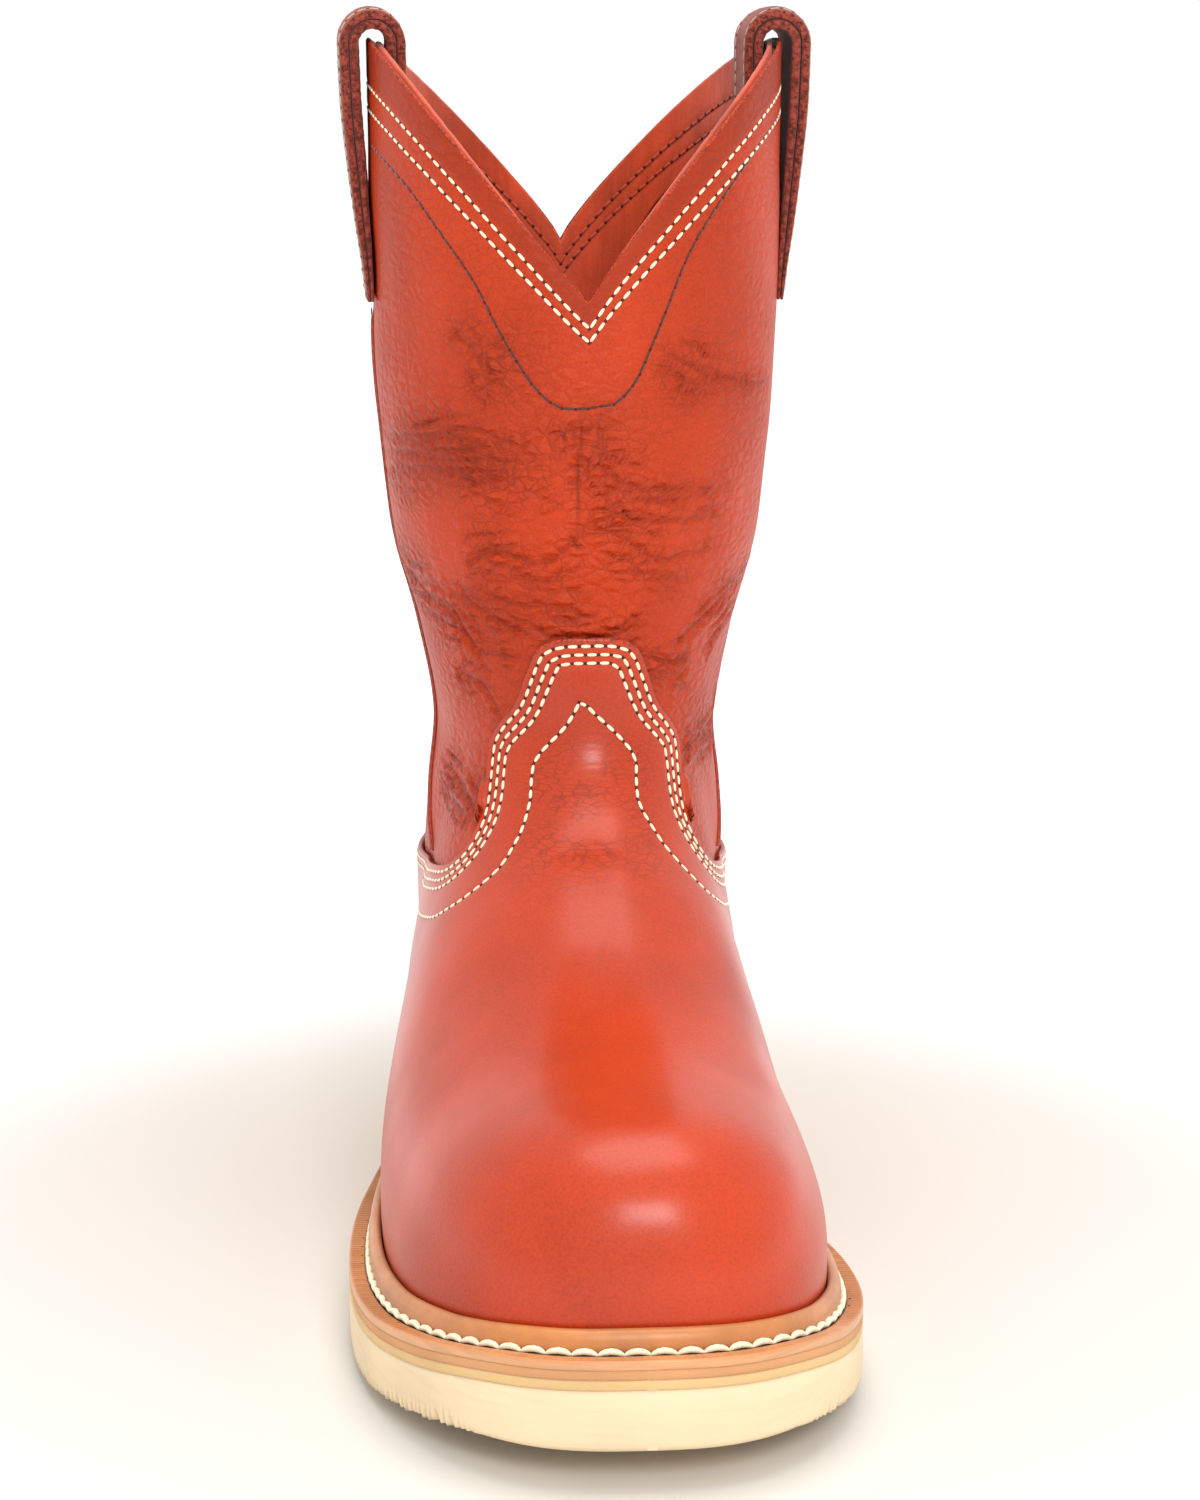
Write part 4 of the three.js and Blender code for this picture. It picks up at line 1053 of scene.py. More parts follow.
# The side seams: their heights and the heights of their rows, half their width, how high the piping
# stands and where its rows run, with their pitch and thread, in millimetres
SEAM_UPS = (0.432, 0.868)
SEAM_ROW_UPS = (0.437, 0.866)
SEAM_HALF = 1.8
SEAM_RISE = 0.8
SEAM_STITCH = (2.6, 0.6)
# The straps' stitches: their pitch, and half their length as a share of it
STRAP_PITCH = 3.2
STRAP_FILL = 0.4
# Material slots of a piece of stitching: its thread, and the dark blobs of painted shade at its holes
THREAD, HOLE = 0, 1


def sewn_in(points, lines, depth=0.22, width=0.75):
    """How far the stitch rows pull the leather in, at points on the plain form."""
    pulled = np.zeros(len(points))
    for line in lines:
        run = place(line[:, 0], line[:, 1], 0)
        for part in np.array_split(np.arange(len(run) - 1), 4):
            piece = run[part[0] : part[-1] + 2]
            low, high = piece.min(0) - 3, piece.max(0) + 3
            close = ((points > low) & (points < high)).all(1)
            if close.any():
                away = nearest(piece, points[close])[0]
                pulled[close] = np.maximum(pulled[close], depth * np.exp(-((away / width) ** 2)))
    return pulled


def collar_lines():
    around = np.linspace(-0.5, 0.5, 241)
    return [np.stack([around, np.full_like(around, up)], -1) for up in STITCHED_UPS]


def facing_lines():
    """The dark row that holds the facing: the front's U and the plain back."""
    around = np.linspace(0.27, 0.73, 90)
    folded = np.minimum(np.abs(around), np.abs(1 - around))
    back = np.stack([around, through(FACING_EDGE, "up", folded) + 0.004], -1)
    return [curve(FACING_ROW, 6), back]


def vamp_lines(sizes):
    gap = sizes.row_gap / MM
    edge = vamp_edge_line()
    rows = [beside(edge, -(2.0 + n * gap)) for n in range(3)]
    inner = np.concatenate([curve(INNER_ROW_LATERAL, 6)[:0:-1], curve(INNER_ROW_MEDIAL, 6)])
    return rows + [inner]


def counter_lines(sizes):
    share = np.linspace(0.01, 0.99, 80)
    up = through(COUNTER_EDGE, "up", np.minimum(share, 1 - share))
    start, end = joint_around(up, 1), 1 - joint_around(up, -1)
    edge = np.stack([mix(start, end, share), up], -1)
    gap = sizes.row_gap / MM
    return [beside(edge, -(2.0 + n * gap)) for n in range(2)]


def build_shaft(sizes, colours):
    """The pebbled shaft with its raw collar edge, its lining and the facing inside the collar."""
    leather = upper_finish("Pebbled leather", tuple(colours.leather), tuple(colours.raw_edge), True)
    lining = lining_finish("Lining leather", tuple(colours.lining))
    low, high = np.linspace(0, SHOWN_UP, 27)[:-1], np.linspace(SHOWN_UP, 0.985, 236)
    ups = np.concatenate([low, high, [0.990, 0.995, 1.0]])
    rows = [(up, -UNDER_VAMP * (1 - float(ease(0.37, 0.41, up))), 0.0) for up in ups]
    rows += [(1.0015, -0.15, 1), (1.0025, -0.45, 1), (1.0025, -0.8, 1), (1.0015, -1.1, 1)]
    rows += [(1.0, -SHAFT_SKIN, 1)]
    rows += [(up, -SHAFT_SKIN, 0.0) for up in HIDDEN_UPS]
    rows += [(0, 0, 0)]
    sewing = collar_lines() + facing_lines()

    def skin(s, t):
        up, off, rim = section_rows(t, rows)
        around = (s - 0.5) * (FRONT_SPACING + 4 * (1 - FRONT_SPACING) * (s - 0.5) ** 2)
        plain = place(around, up, 0)
        outer = (off > -1.0) & (rim == 0) & (up > SHOWN_UP)
        height = off.copy()
        # crease carries the painted shade along the creases' troughs into the leather's colour
        crease, near = np.zeros((2, len(up)))
        relief, crease[outer], near[outer] = shaft_relief(around[outer], up[outer], sizes.crease)
        height[outer] += relief - sewn_in(plain[outer], sewing)
        height += 0.22 * uneven(plain, 0.9) * rim
        band = ease(0.9805, 0.984, up) * (off > -0.05)
        return place(around, up, height), {"rim": rim, "band": band, "crease": crease, "near": near}

    sheet("shaft", 318, len(rows) - 1, skin, leather,
          replaces=("upper",), closed=True)

    inner = [(up, -UPPER_WALL, 1.0) for up in np.linspace(0, 0.996, 96)]
    inner += [(up, LINING_BACK, 0.0) for up in (0.996, *HIDDEN_UPS)]
    inner += [inner[0]]

    def lined(s, t):
        up, off, inside = section_rows(t, inner)
        around = s - 0.5
        pulls = ruffled(around, up, 130, 9, 2.0)
        soft = ruffled(around, up, 34, 12, 5.0)
        free = ease(0.35, 0.6, up) * (1 - ease(0.9, 0.99, up))
        height = off + inside * (0.42 * pulls + 0.5 * soft) * free
        return place(around, up, np.minimum(height, LINING_BACK)), {}

    sheet("lining", 250, len(inner) - 1, lined, lining, closed=True)

    shares = np.linspace(0, 1, 26)
    strip = [(share, FACING_OFF - FACING_WALL, 1.0) for share in shares]
    strip += [(1.01, FACING_OFF - 0.6, 1.0)]
    strip += [(share, FACING_OFF, 0.0) for share in shares[::-4]]
    strip += [strip[0]]

    def faced(around, t):
        share, off, inside = section_rows(t, strip)
        low = through(FACING_EDGE, "up", np.minimum(around, 1 - around))
        up = mix(low, 0.999, share)
        pulls = ruffled(around, up, 150, 14, 8.0)
        dents = sewn_in(place(around, up, 0), collar_lines(), 0.3, 0.8)
        height = off + inside * (0.22 * pulls + dents * 0.8)
        return place(around, up, np.minimum(height, FACING_OFF)), {}

    sheet("facing", 250, len(strip) - 1, faced, lining,
          replaces=("collar_facing",), closed=True)


def build_vamp(sizes, colours):
    """The smooth vamp with its tongue, and the counter round the heel."""
    leather = upper_finish("Smooth leather", tuple(colours.leather), tuple(colours.raw_edge), False)
    lines = vamp_lines(sizes)
    at = np.linspace(-VAMP_NODES, VAMP_NODES, 521)
    edge_around = np.sign(at) * through(VAMP_EDGE, "around", np.abs(at))
    edge = place(edge_around, through(VAMP_EDGE, "up", np.abs(at)), 0)
    spread = np.linalg.norm(np.diff(edge, axis=0), axis=1) + 560 * np.abs(np.diff(edge_around))
    run = np.concatenate([[0], np.cumsum(spread)])
    rows = [(share, 0.0, 0.0) for share in np.linspace(0, 0.985, 136)]
    rows += [(0.990, 0.05, 0.2), (0.995, 0.2, 0.8), (1.0, 0.55, 1.0)]

    def vamp(s, t):
        share, drop, rim = section_rows(t, rows)
        where = np.interp(s * run[-1], run, at)
        column = np.abs(where)
        rise = np.clip((share - VAMP_BASE_ROWS) / (1 - VAMP_BASE_ROWS), 0, 1)
        low = VAMP_BASE * np.clip(share / VAMP_BASE_ROWS, 0, 1)
        up = mix(low, through(VAMP_EDGE, "up", column), rise)
        ends = VAMP_EDGE["around"][-1]
        across = mix(np.abs(2 * s - 1), through(VAMP_EDGE, "around", column) / ends, rise)
        sign = np.sign(where)
        around = sign * across * (joint_around(up, sign) - JOINT_SLIT)
        height = SKIN_TOP - drop - sewn_in(place(around, up, 0), lines) + vamp_relief(around, up)
        flex = ease(0.40, 0.46, up) * (1 - ease(0.56, 0.62, up))
        flex *= 1 - ease(0.030, 0.070, np.abs(around))
        height += 0.05 * np.sin(up * 900 + around * 22) * flex * sizes.crease
        return place(around, up, height), {"rim": rim, "band": 0 * up, "flex": flex}

    thicken(sheet("vamp_leather", 280, len(rows) - 1, vamp, leather,
                  replaces=("vamp",)), OVERLAY_WALL)

    heel_lines = counter_lines(sizes)
    heel_rows = [(share, 0.0, 0.0) for share in np.linspace(0, 0.975, 50)]
    heel_rows += [(0.985, 0.05, 0.2), (0.993, 0.2, 0.8), (1.0, 0.55, 1.0)]

    def counter(s, t):
        share, drop, rim = section_rows(t, heel_rows)
        up = share * through(COUNTER_EDGE, "up", np.minimum(s, 1 - s))
        around = mix(joint_around(up, 1) + JOINT_SLIT, 1 - joint_around(up, -1) - JOINT_SLIT, s)
        height = SKIN_TOP - drop - sewn_in(place(around, up, 0), heel_lines) + vamp_relief(around, up)
        return place(around, up, height), {"rim": rim, "band": 0 * up, "flex": 0 * up}

    thicken(sheet("counter_leather", 220, len(heel_rows) - 1, counter, leather,
                  replaces=("counter",)), OVERLAY_WALL)


def build_stitching(sizes, colours):
    """The cream rows on vamp, counter and collar, and the dark row of the facing."""
    cream = thread_finish("Cream thread", tuple(colours.thread))
    dark = thread_finish("Dark thread", tone(tuple(colours.leather), 0.22))
    red = thread_finish("Red thread", tone(tuple(colours.lining), 0.75))
    holes = hole_shade_finish("Needle holes", tuple(colours.leather))
    grain, hole = grain_of_thread(), grain_of_thread(6, 4)
    wide = sizes.thread / MM
    narrow = wide * 0.9

    def rows(name, lines, off, thread, width):
        bm = bmesh.new()
        for line in lines:
            stitch_row(bm, grain, hole, line, off, sizes.stitch_pitch / MM, width)
        finished(name, bm, [thread, holes])

    def on_vamp(around, up):
        return SKIN_TOP - STITCH_SINK + vamp_relief(around, up)

    def on_shaft(around, up):
        return shaft_relief(around, up, sizes.crease)[0] - STITCH_SINK

    def on_facing(around, up):
        return np.full_like(around, FACING_OFF - FACING_WALL)

    rows("vamp_stitching", vamp_lines(sizes), on_vamp, cream, wide)
    rows("counter_stitching", counter_lines(sizes), on_vamp, cream, wide)
    rows("collar_stitching", collar_lines(), on_shaft, cream, narrow)
    rows("facing_stitching", facing_lines(), on_shaft, dark, narrow)
    behind = [line[(np.abs(line[:, 0]) > 0.05)] for line in collar_lines()]
    inner = [part for line in behind for part in (line[line[:, 0] < 0], line[line[:, 0] > 0])]
    rows("inner_stitching", inner, on_facing, red, narrow)
    discard(grain, hole)


def build_side_seams(sizes, colours):
    """Piped side seams from the vamp's joint up to the straps."""
    colour, edge = tone(tuple(colours.leather), 0.8), tuple(colours.raw_edge)
    leather = upper_finish("Piping leather", colour, edge, False)
    holes = hole_shade_finish("Seam holes", tuple(colours.leather))
    dark = thread_finish("Seam thread", tone(tuple(colours.leather), 0.35))
    half = SEAM_HALF / SHAFT_GIRTH
    # across the seam, and height as a share of its rise
    loop = [(-1, 0.0), (-0.93, 0.45), (-0.7, 0.75), (-0.35, 0.6), (-0.22, 0.85), (0, 1.1), (0.22, 0.85),
            (0.35, 0.6), (0.7, 0.75), (0.93, 0.45), (1, 0.0), (0, -0.1), (-1, 0.0)]
    grain, hole = grain_of_thread(), grain_of_thread(6, 4)

    def on_seam(around, up):
        return 0.5 + shaft_relief(around, up, sizes.crease)[0]

    for name, side in SIDES.items():

        def seam(s, t, side=side):
            across, high = section_rows(t, loop)
            up = mix(*SEAM_UPS, s)
            around = side + across * half
            height = SEAM_RISE * high * (1 - ease(0.97, 1, s))
            lift = shaft_relief(np.full_like(up, side), up, sizes.crease)[0]
            return place(around, up, height + lift), {"rim": 0 * up, "band": 0 * up, "flex": 0 * up}

        sheet(f"piping_{name}", 200, len(loop) - 1, seam, leather,
              replaces=(f"side_seam_{name}",), closed=True, caps=True)
        bm = bmesh.new()
        up = np.linspace(*SEAM_ROW_UPS, 80)
        for step in (-0.62, 0.62):
            line = np.stack([np.full_like(up, side + step * half), up], -1)
            stitch_row(bm, grain, hole, line, on_seam, *SEAM_STITCH)
        finished(f"seam_stitching_{name}", bm, [dark, holes])
    discard(grain, hole)


def strap_points(side, s, across, depth):
    """A place in a pull strap: along its course, across its width and from its near to its far face."""
    leg_end, arch_end = 0.50, 0.72
    leg = np.clip(s / leg_end, 0, 1) * STRAP_LEG["at"][-1]
    arch = np.clip((s - leg_end) / (arch_end - leg_end), 0, 1)
    back = np.clip((s - arch_end) / (1 - arch_end), 0, 1)
    centre = GAP + STRAP_STAND_OFF - STRAP_ARCH_RISE
    thick = mix(STRAP_END_THICK, STRAP_THICK, through(STRAP_LEG, "thick", leg))
    near = GAP + STRAP_STAND_OFF * through(STRAP_LEG, "slack", leg)
    up = through(STRAP_LEG, "up", leg)
    turn = math.pi * arch
    reach = STRAP_ARCH_RISE + depth * STRAP_THICK
    on_arch = (arch > 0) & (back == 0)
    off = np.where(on_arch, centre + np.cos(turn) * reach, near + depth * thick)
    lift = np.where(on_arch, np.sin(turn) * (reach + 0.3), 0.0)
    inside = -UPPER_WALL - FACING_WALL - 2 * GAP
    near_back = mix(centre - STRAP_ARCH_RISE, inside, ease(0, 1, back))
    thick_back = mix(STRAP_THICK, STRAP_END_THICK, ease(0.3, 1, back))
    off = np.where(back > 0, near_back - depth * thick_back, off)
    up = np.where(back > 0, mix(1, 0.885, back), up)
    point = place(side + across * STRAP_WIDTH / 2 / SHAFT_GIRTH, up, off)
    point[..., 2] += lift
    return point


def build_straps(sizes, colours):
    """Pull straps of two leather layers, arched over the collar's peaks."""
    leather = strap_finish("Strap leather", tuple(colours.strap), tuple(colours.raw_edge))
    thread = thread_finish("Strap thread", tone(tuple(colours.thread), 0.55))
    holes = hole_shade_finish("Strap holes", tuple(colours.strap))
    grain, hole = grain_of_thread(), grain_of_thread(6, 4)
    for name, side in SIDES.items():
        for layer, (low, high) in {"outer": (0.53, 1.0), "inner": (0.0, 0.49)}.items():
            wide = np.linspace(-0.97, 0.97, 15)
            cut = ((0.995, 0.12), (1.0, 0.5), (0.995, 0.88))
            loop = [(w, high, 0.0) for w in wide]
            loop += [(w, mix(high, low, share), 1) for w, share in cut]
            loop += [(w, low, 0.0) for w in wide[::-1]]
            loop += [(-w, mix(low, high, share), 1) for w, share in cut]
            loop += [loop[0]]

            def strap(s, t, side=side, loop=loop):
                across, depth, rim = section_rows(t, loop)
                point = strap_points(side, s, across, depth)
                rough = uneven(point, 1.3)
                point = strap_points(side, s, across * (1 + 0.012 * rough * rim), depth + 0.03 * rough)
                ends = np.maximum(1 - ease(0.0, 0.015, s), ease(0.985, 1.0, s))
                return point, {"rim": np.maximum(rim, ends)}

            piece = f"strap_{layer}_{name}"
            replaced = ("pull_strap_" + name,) if layer == "outer" else ()
            sheet(piece, 150, len(loop) - 1, strap, leather,
                  replaces=replaced, closed=True, caps=True)
        bm = bmesh.new()
        for edge in (-0.80, 0.80):
            s = np.linspace(0.02, 0.97, 160)
            strap_row(bm, grain, hole, side, s, edge)
        for s_end in (0.03, 0.075):
            strap_row(bm, grain, hole, side, np.full(20, s_end), np.linspace(-0.76, 0.76, 20))
        finished("strap_stitching_" + name, bm, [thread, holes])
    discard(grain, hole)


def strap_row(bm, grain, hole, side, s, across):
    """A row of stitches on a strap's outer face."""
    across = np.broadcast_to(across, s.shape)
    line = strap_points(side, s, across, 1.0)
    out = unit(line - strap_points(side, s, across, 0.6))
    shares, count = along_line(line, STRAP_PITCH)
    for n in range(count):
        start, end = between(line, shares[n]), between(line, shares[n + 1])
        run = Vector(end - start)
        length = run.length
        run.normalize()
        side_on = Vector(between(out, shares[n])).cross(run).normalized()
        axes = (run, side_on, run.cross(side_on))
        stamp(bm, grain, (start + end) / 2, axes, (length * STRAP_FILL, 0.4, 0.3), THREAD)
        # painted shade: a dark blob at each needle hole
        stamp(bm, hole, start, axes, (0.4, 0.42, 0.14), HOLE)


def margin(y):
    """How far the sole's edge stands outside the upper."""
    return mix(REAR_MARGIN, FRONT_MARGIN, ease(0.35, 0.65, station(y)))


def crowded(even):
    """Crowds columns at toe and heel, where the outline turns most."""
    return even - CROWDING / (4 * math.pi) * np.sin(4 * math.pi * even)


def side_mask(around):
    """0 round the front of the toe and 1 along both sides."""
    folded = np.minimum(np.mod(around, 1), 1 - np.mod(around, 1))
    return ease(0.055, 0.10, folded)


def build_welt(sizes, colours):
    """The storm welt: roll, stitch groove and wheeled flat, with its thick lock stitch."""
    leather = welt_finish("Welt leather", tuple(colours.welt), True, tuple(colours.midsole))
    inside = OVERLAY_WALL + 2 * GAP
    roll = WELT_ROLL_WIDTH
    top = WELT_THICK
    crown = top + WELT_ROLL_HEIGHT
    # out from the roll's inner face, height over the midsole, wheeled, dark (painted shade, deepest in
    # the stitch groove and on the roll's inner side, and a darker tone of the leather on the roll),
    # share of the edge margin
    section = [
        (0.0, 0.0, 0, 0.2, 0), (0, 0.0, 0, 0, 1), (0.12, 0.25, 0, 0, 1), (0.16, top * 0.5, 0, 0, 1),
        (0.10, top - 0.3, 0, 0, 1), (-0.25, top - 0.02, 0.6, 0, 1), (-0.8, top, 1, 0, 1),
        (-1.6, top, 1, 0, 1), (-2.4, top, 1, 0, 1), (roll * 1.62, top, 0.5, 0.1, 0),
        (roll * 1.52, top - 0.12, 0, 0.55, 0), (roll * 1.42, top - 0.55, 0, 0.8, 0),
        (roll * 1.28, top - 0.75, 0, 0.95, 0), (roll * 1.14, top - 0.6, 0, 1.0, 0),
        (roll * 1.06, top, 0, 0.7, 0), (roll * 1.04, top + 0.8, 0, 0.25, 0),
        (roll * 1.02, top + 1.7, 0, 0.18, 0), (roll * 0.96, top + 2.8, 0, 0.15, 0),
        (roll * 0.84, top + 3.8, 0, 0.13, 0), (roll * 0.64, top + 4.6, 0, 0.12, 0),
        (roll * 0.42, crown, 0, 0.12, 0), (roll * 0.20, crown, 0, 0.15, 0),
        (0.10, top + 4.7, 0, 0.5, 0), (0.0, top + 4.0, 0, 0.6, 0), (0.0, 0.0, 0, 0.2, 0),
    ]
    columns = 2080
    shares = crowded(np.arange(columns + 1) / columns)
    lengths = run_lengths(place(shares, 0, 6.5))
    ribs = int(round(lengths[-1] * MM / sizes.rib_pitch))

    def welt(s, t):
        out, high, wheeled, dark, at_edge = section_rows(t, section)
        around = crowded(s)
        length = np.interp(around, shares, lengths) / lengths[-1]
        wave = np.cos(2 * math.pi * ribs * length)
        mask = mix(0.1, 1.0, side_mask(around))
        base = place(around, 0, 0)
        edge = margin(base[:, 1])
        outer = np.maximum(edge + out, inside + roll * 1.60)
        off = np.where(at_edge > 0.5, outer, inside + out)
        bottom, lean_top = place(around, 0, inside), place(around, FIRST_ROW, inside)
        point = place(around, 0, off)
        lean = (lean_top - bottom) / (lean_top[:, 2:] - bottom[:, 2:])
        rolled = (out <= roll * 1.05) & (at_edge < 0.5) & (high > top)
        point = np.where(rolled[:, None], point + lean * high[:, None], point)
        flat = feather_height(point[:, 1]) + GAP + high
        point[:, 2] = np.where(rolled, point[:, 2], flat)
        point[:, 2] += wheeled * mask * 0.2 * wave + 0.18 * uneven(point, 0.07) * (high > 0.1)
        # painted shade: the dark column, and more between the wheeled ribs
        shade = np.clip(dark + wheeled * mask * 0.7 * (0.5 - 0.5 * wave), 0, 1)
        return point, {"dark": shade, "side": at_edge * (1 - ease(top - 0.5, top - 0.1, high))}

    sheet("storm_welt", columns, len(section) - 1, welt, leather,
          replaces=("welt",), closed=True)
    build_lock_stitch(sizes, colours, inside + roll * 1.36, top)


def build_lock_stitch(sizes, colours, off, top):
    """The welt's thick stitches, each an arch between two holes, so far off the surface."""
    thread = thread_finish("Welt thread", tuple(colours.thread))
    holes = hole_shade_finish("Welt holes", tone(tuple(colours.welt), 0.5))
    sink = 0.25
    arch = grain_of_thread(8, 8)
    for vert in arch.vertices:
        vert.co.z += 1.0 * (1 - vert.co.x**2)
        vert.co.y += 0.5 * (1 - vert.co.x**2)
    pit = grain_of_thread(6, 4)
    bm = bmesh.new()
    line = place(np.linspace(0, 1, 1001), 0, off)
    line[:, 2] = feather_height(line[:, 1]) + GAP + top - sink
    steps, count = along_line(line, sizes.welt_pitch / MM)
    width = sizes.welt_thread / MM
    for n in range(count):
        start, end = between(line, steps[n]), between(line, steps[n + 1])
        run = Vector(end - start)
        length = run.length
        run.normalize()
        side = Vector((0, 0, 1)).cross(run).normalized()
        axes = (run, side, run.cross(side))
        swing = 0.05 * math.sin(5.1 * n)
        middle = (start + end) / 2
        size = (length * 0.53, width * (0.42 + swing * 0.5), width * 0.40)
        stamp(bm, arch, middle + (0, 0, sink), axes, size, THREAD)
        # painted shade: dark pits at the holes beside each stitch
        for spot, reach in ((start, 0.62), (middle, -0.62)):
            stamp(bm, pit, spot + np.array(side) * width * reach, axes, (0.6, 0.5, 0.3), HOLE)
    finished("welt_stitching", bm, [thread, holes])
    discard(arch, pit)


# Depths of the layers' upper sides below the midsole's own, and the pitch of the teeth
SLIP_TOP = MIDSOLE_THICK + GAP
OUTSOLE_TOP = SLIP_TOP + SLIP_SOLE_THICK + GAP
TOOTH_PITCH = 2.2


def tread_height(y):
    """Height of the sole's underside: flat up to the ball, then sprung up to the toe."""
    share = np.maximum(-y / FOOT_LENGTH - SPRING_START, 0) / (1 - SPRING_START)
    return TOE_SPRING * np.minimum(share, 1) ** SPRING_POWER


def layer(name, rungs, side, bottom, top, material, slot, bulge=0.0, teeth=0.0, round_by=0.25):
    """One layer of the sole, as rungs from edge to edge with closed sections. side is the number of
    points up its edge, and bulge, teeth and round_by shape that edge, in millimetres."""
    flat = np.linspace(-1, 1, 9)
    high = np.linspace(0, 1, side)
    swell = bulge * np.sin(math.pi * high) - round_by * (1 - np.sin(math.pi * high) ** 0.25)
    section = [(a, 1.0, -round_by) for a in flat]
    section += [(1, h, o) for h, o in zip(high[::-1][1:-1], swell[::-1][1:-1])]
    section += [(a, 0.0, -round_by) for a in flat[::-1]]
    section += [(-1, h, o) for h, o in zip(high[1:-1], swell[1:-1])]
    section += [section[0]]
    even = np.linspace(0, 0.5, rungs + 1)
    lengths = run_lengths(place(crowded(even), 0, FRONT_MARGIN))

    def shape(s, t):
        across, high, out = section_rows(t, section)
        share = crowded(s / 2)
        length = np.interp(s / 2, even, lengths)
        edges = []
        for sign in (-1, 1):
            reach = margin(place(sign * share, 0, 0)[:, 1]) + out
            edges.append(place(sign * share, 0, reach))
        point = mix(edges[0], edges[1], ((across + 1) / 2)[:, None])
        y = point[:, 1]
        phase = length / TOOTH_PITCH + 0.25 * np.sin(length * 0.31) + 0.15 * np.sin(length * 1.13)
        tooth = np.abs(phase % 1 - 0.5) * 2
        bite = teeth * tooth**0.8 * ease(0.075, 0.095, s / 2) * (1 - ease(0.47, 0.49, s / 2))
        point[:, 2] = mix(bottom(y) + bite, top(y) + GAP, high)
        return point, {}

    sheet(name + "_layer", rungs, len(section) - 1, shape, material,
          replaces=(name,), closed=True)


def build_soles(sizes, colours):
    """Midsole, thin slip sole and the crepe wedge with its fine teeth, and the insole's leather."""
    tan = edge_finish("Midsole edge", tuple(colours.midsole), 0.9, 1.05)
    pale = edge_finish("Slip sole edge", SLIP_SOLE_COLOUR, 0.94, 1.05)
    crepe = edge_finish("Crepe", tuple(colours.crepe), 0.95, 1.04)

    def below(depth):
        return lambda y: feather_height(y) - depth

    layer("midsole", 300, 7, below(MIDSOLE_THICK), feather_height, tan, "welt_leather",
          bulge=0.15, round_by=0.12)
    layer("slip_sole", 300, 7, below(SLIP_TOP + SLIP_SOLE_THICK), below(SLIP_TOP), pale, "thin_layer",
          bulge=0.1, round_by=0.12)
    layer("outsole", 1150, 13, tread_height, below(OUTSOLE_TOP), crepe, "crepe",
          bulge=0.2, teeth=sizes.tooth_depth / MM, round_by=0.35)
    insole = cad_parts["insole"]
    insole.data.materials.clear()
    insole.data.materials.append(welt_finish("Insole leather", INSOLE_COLOUR, False))


# The stage: the place that the lamps face, each lamp's place, size and watts, the camera's place,
# its dip and turn in degrees and its lens, and how far out the floor's painted shadow fades to white
AIM = (0, -0.02, 0.13)
LAMPS = {
    "key": ((0.15, -1.14, 0.79), 0.34, 6.0),
    "overhead": ((0.07, 0.02, 1.40), 0.8, 8.0),
}
CAMERA_AT = (-0.0488, -0.8118, 0.3092)
CAMERA_DIP, CAMERA_TURN, LENS = 12.46, -3.61, 80.0
FLOOR_SHADOW_FADE = (0.15, 0.34)


def build_stage(sizes, colours):
    """A pale floor with a painted shadow round the boot, soft studio lamps and the camera at the
    photograph's angle.
    """
    scene = bpy.context.scene
    bm = bmesh.new()
    bmesh.ops.create_grid(bm, x_segments=1, y_segments=1, size=6.0)
    mesh = bpy.data.meshes.new("floor")
    bm.to_mesh(mesh)
    bm.free()
    floor = bpy.data.objects.new("floor", mesh)
    paper = Finish("Studio floor", Roughness=0.9, Specular_IOR_Level=0.1, Emission_Strength=0.2)
    # painted shadow: round the boot the floor is a darker, tan colour and does not glow; farther out it
    # glows white
    away = paper.node("ShaderNodeVectorMath", {"operation": "LENGTH"}, {0: paper.place()}, "Value")
    far = paper.span(away, *FLOOR_SHADOW_FADE)
    glow = paper.blend(far, (0.0, 0.0, 0.0), (1.0, 1.0, 1.0))
    paper.tree.links.new(glow.socket, paper.shader.inputs["Emission Color"])
    mesh.materials.append(paper.finish(paper.blend(far, (0.72, 0.69, 0.64), (0.95, 0.95, 0.95))))
    scene.collection.objects.link(floor)
    world = bpy.data.worlds.new("Studio")
    world.use_nodes = True
    backdrop = world.node_tree.nodes["Background"]
    backdrop.inputs["Color"].default_value = (1, 1, 1, 1)
    backdrop.inputs["Strength"].default_value = 1.0
    scene.world = world
    scene.view_settings.view_transform = "Standard"
    for name, (spot, size, power) in LAMPS.items():
        lamp = bpy.data.lights.new(name, "AREA")
        lamp.energy, lamp.size = power, size
        holder = bpy.data.objects.new(name, lamp)
        holder.location = spot
        holder.rotation_euler = (Vector(AIM) - Vector(spot)).to_track_quat("-Z", "Y").to_euler()
        scene.collection.objects.link(holder)
    camera = bpy.data.cameras.new("camera")
    camera.lens, camera.sensor_width = LENS, 36.0
    camera.clip_start, camera.clip_end = 0.05, 30
    holder = bpy.data.objects.new("camera", camera)
    holder.location = CAMERA_AT
    holder.rotation_euler = (math.radians(90 - CAMERA_DIP), 0, math.radians(CAMERA_TURN))
    scene.collection.objects.link(holder)
    scene.camera = holder


class BootOperator:
    """What all the boot's operators share: each runs its builder on the scene's sizes and colours."""

    bl_options = {"REGISTER", "UNDO"}

    def execute(self, context):
        self.build(context.scene.boot_sizes, context.scene.boot_colours)
        return {"FINISHED"}


class BOOT_OT_stage(BootOperator, bpy.types.Operator):
    """Adds the floor, the lamps and the camera"""

    bl_idname = "boot.stage"
    bl_label = "Stage"
    build = staticmethod(build_stage)


class BOOT_OT_shaft(BootOperator, bpy.types.Operator):
    """Adds the shaft, its lining and the facing"""

    bl_idname = "boot.shaft"
    bl_label = "Shaft"
    build = staticmethod(build_shaft)


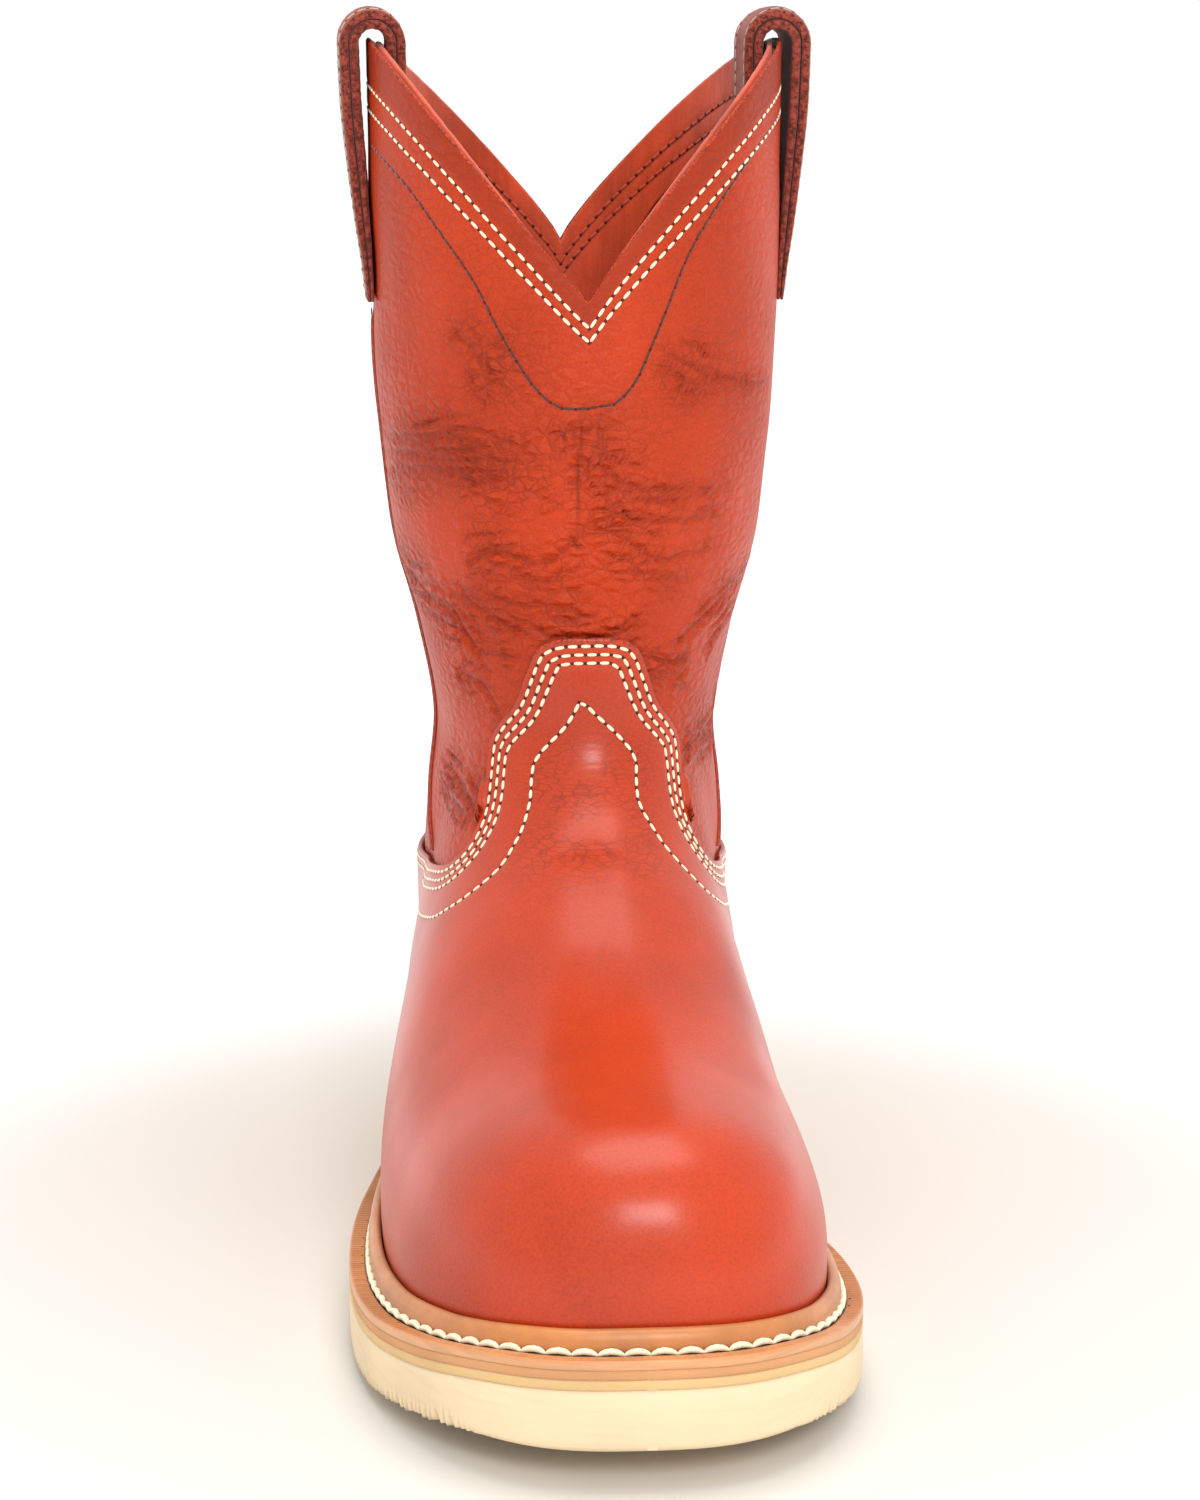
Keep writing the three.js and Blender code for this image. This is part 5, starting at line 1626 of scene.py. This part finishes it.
class BOOT_OT_vamp(BootOperator, bpy.types.Operator):
    """Adds the vamp and the counter"""

    bl_idname = "boot.vamp"
    bl_label = "Vamp and Counter"
    build = staticmethod(build_vamp)


class BOOT_OT_stitching(BootOperator, bpy.types.Operator):
    """Adds the stitch rows of the upper"""

    bl_idname = "boot.stitching"
    bl_label = "Stitching"
    build = staticmethod(build_stitching)


class BOOT_OT_side_seams(BootOperator, bpy.types.Operator):
    """Adds the piped side seams"""

    bl_idname = "boot.side_seams"
    bl_label = "Side Seams"
    build = staticmethod(build_side_seams)


class BOOT_OT_straps(BootOperator, bpy.types.Operator):
    """Adds the pull straps"""

    bl_idname = "boot.straps"
    bl_label = "Pull Straps"
    build = staticmethod(build_straps)


class BOOT_OT_welt(BootOperator, bpy.types.Operator):
    """Adds the storm welt and its lock stitch"""

    bl_idname = "boot.welt"
    bl_label = "Welt"
    build = staticmethod(build_welt)


class BOOT_OT_soles(BootOperator, bpy.types.Operator):
    """Adds the layers of the sole and finishes the insole"""

    bl_idname = "boot.soles"
    bl_label = "Soles"
    build = staticmethod(build_soles)


OPERATORS = (
    BOOT_OT_stage,
    BOOT_OT_shaft,
    BOOT_OT_vamp,
    BOOT_OT_stitching,
    BOOT_OT_side_seams,
    BOOT_OT_straps,
    BOOT_OT_welt,
    BOOT_OT_soles,
)


class BOOT_PT_panel(bpy.types.Panel):
    """Sidebar panel with the boot's sizes, colours and pieces"""

    bl_idname = "BOOT_PT_panel"
    bl_label = "Work Boot"
    bl_space_type = "VIEW_3D"
    bl_region_type = "UI"
    bl_category = "Work Boot"

    def draw(self, context):
        column = self.layout.column()
        for group in (context.scene.boot_sizes, context.scene.boot_colours):
            for name in group.bl_rna.properties.keys():
                if name not in ("rna_type", "name"):
                    column.prop(group, name)
        for kind in OPERATORS:
            column.operator(kind.bl_idname)


CLASSES = (BootSizes, BootColours, *OPERATORS, BOOT_PT_panel)


def register():
    for cls in CLASSES:
        bpy.utils.register_class(cls)
    bpy.types.Scene.boot_sizes = PointerProperty(type=BootSizes)
    bpy.types.Scene.boot_colours = PointerProperty(type=BootColours)


def unregister():
    del bpy.types.Scene.boot_colours
    del bpy.types.Scene.boot_sizes
    for cls in reversed(CLASSES):
        bpy.utils.unregister_class(cls)


def main():
    register()
    for kind in OPERATORS:
        group, name = kind.bl_idname.split(".")
        getattr(getattr(bpy.ops, group), name)()
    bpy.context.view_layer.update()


if __name__ == "__main__":
    main()
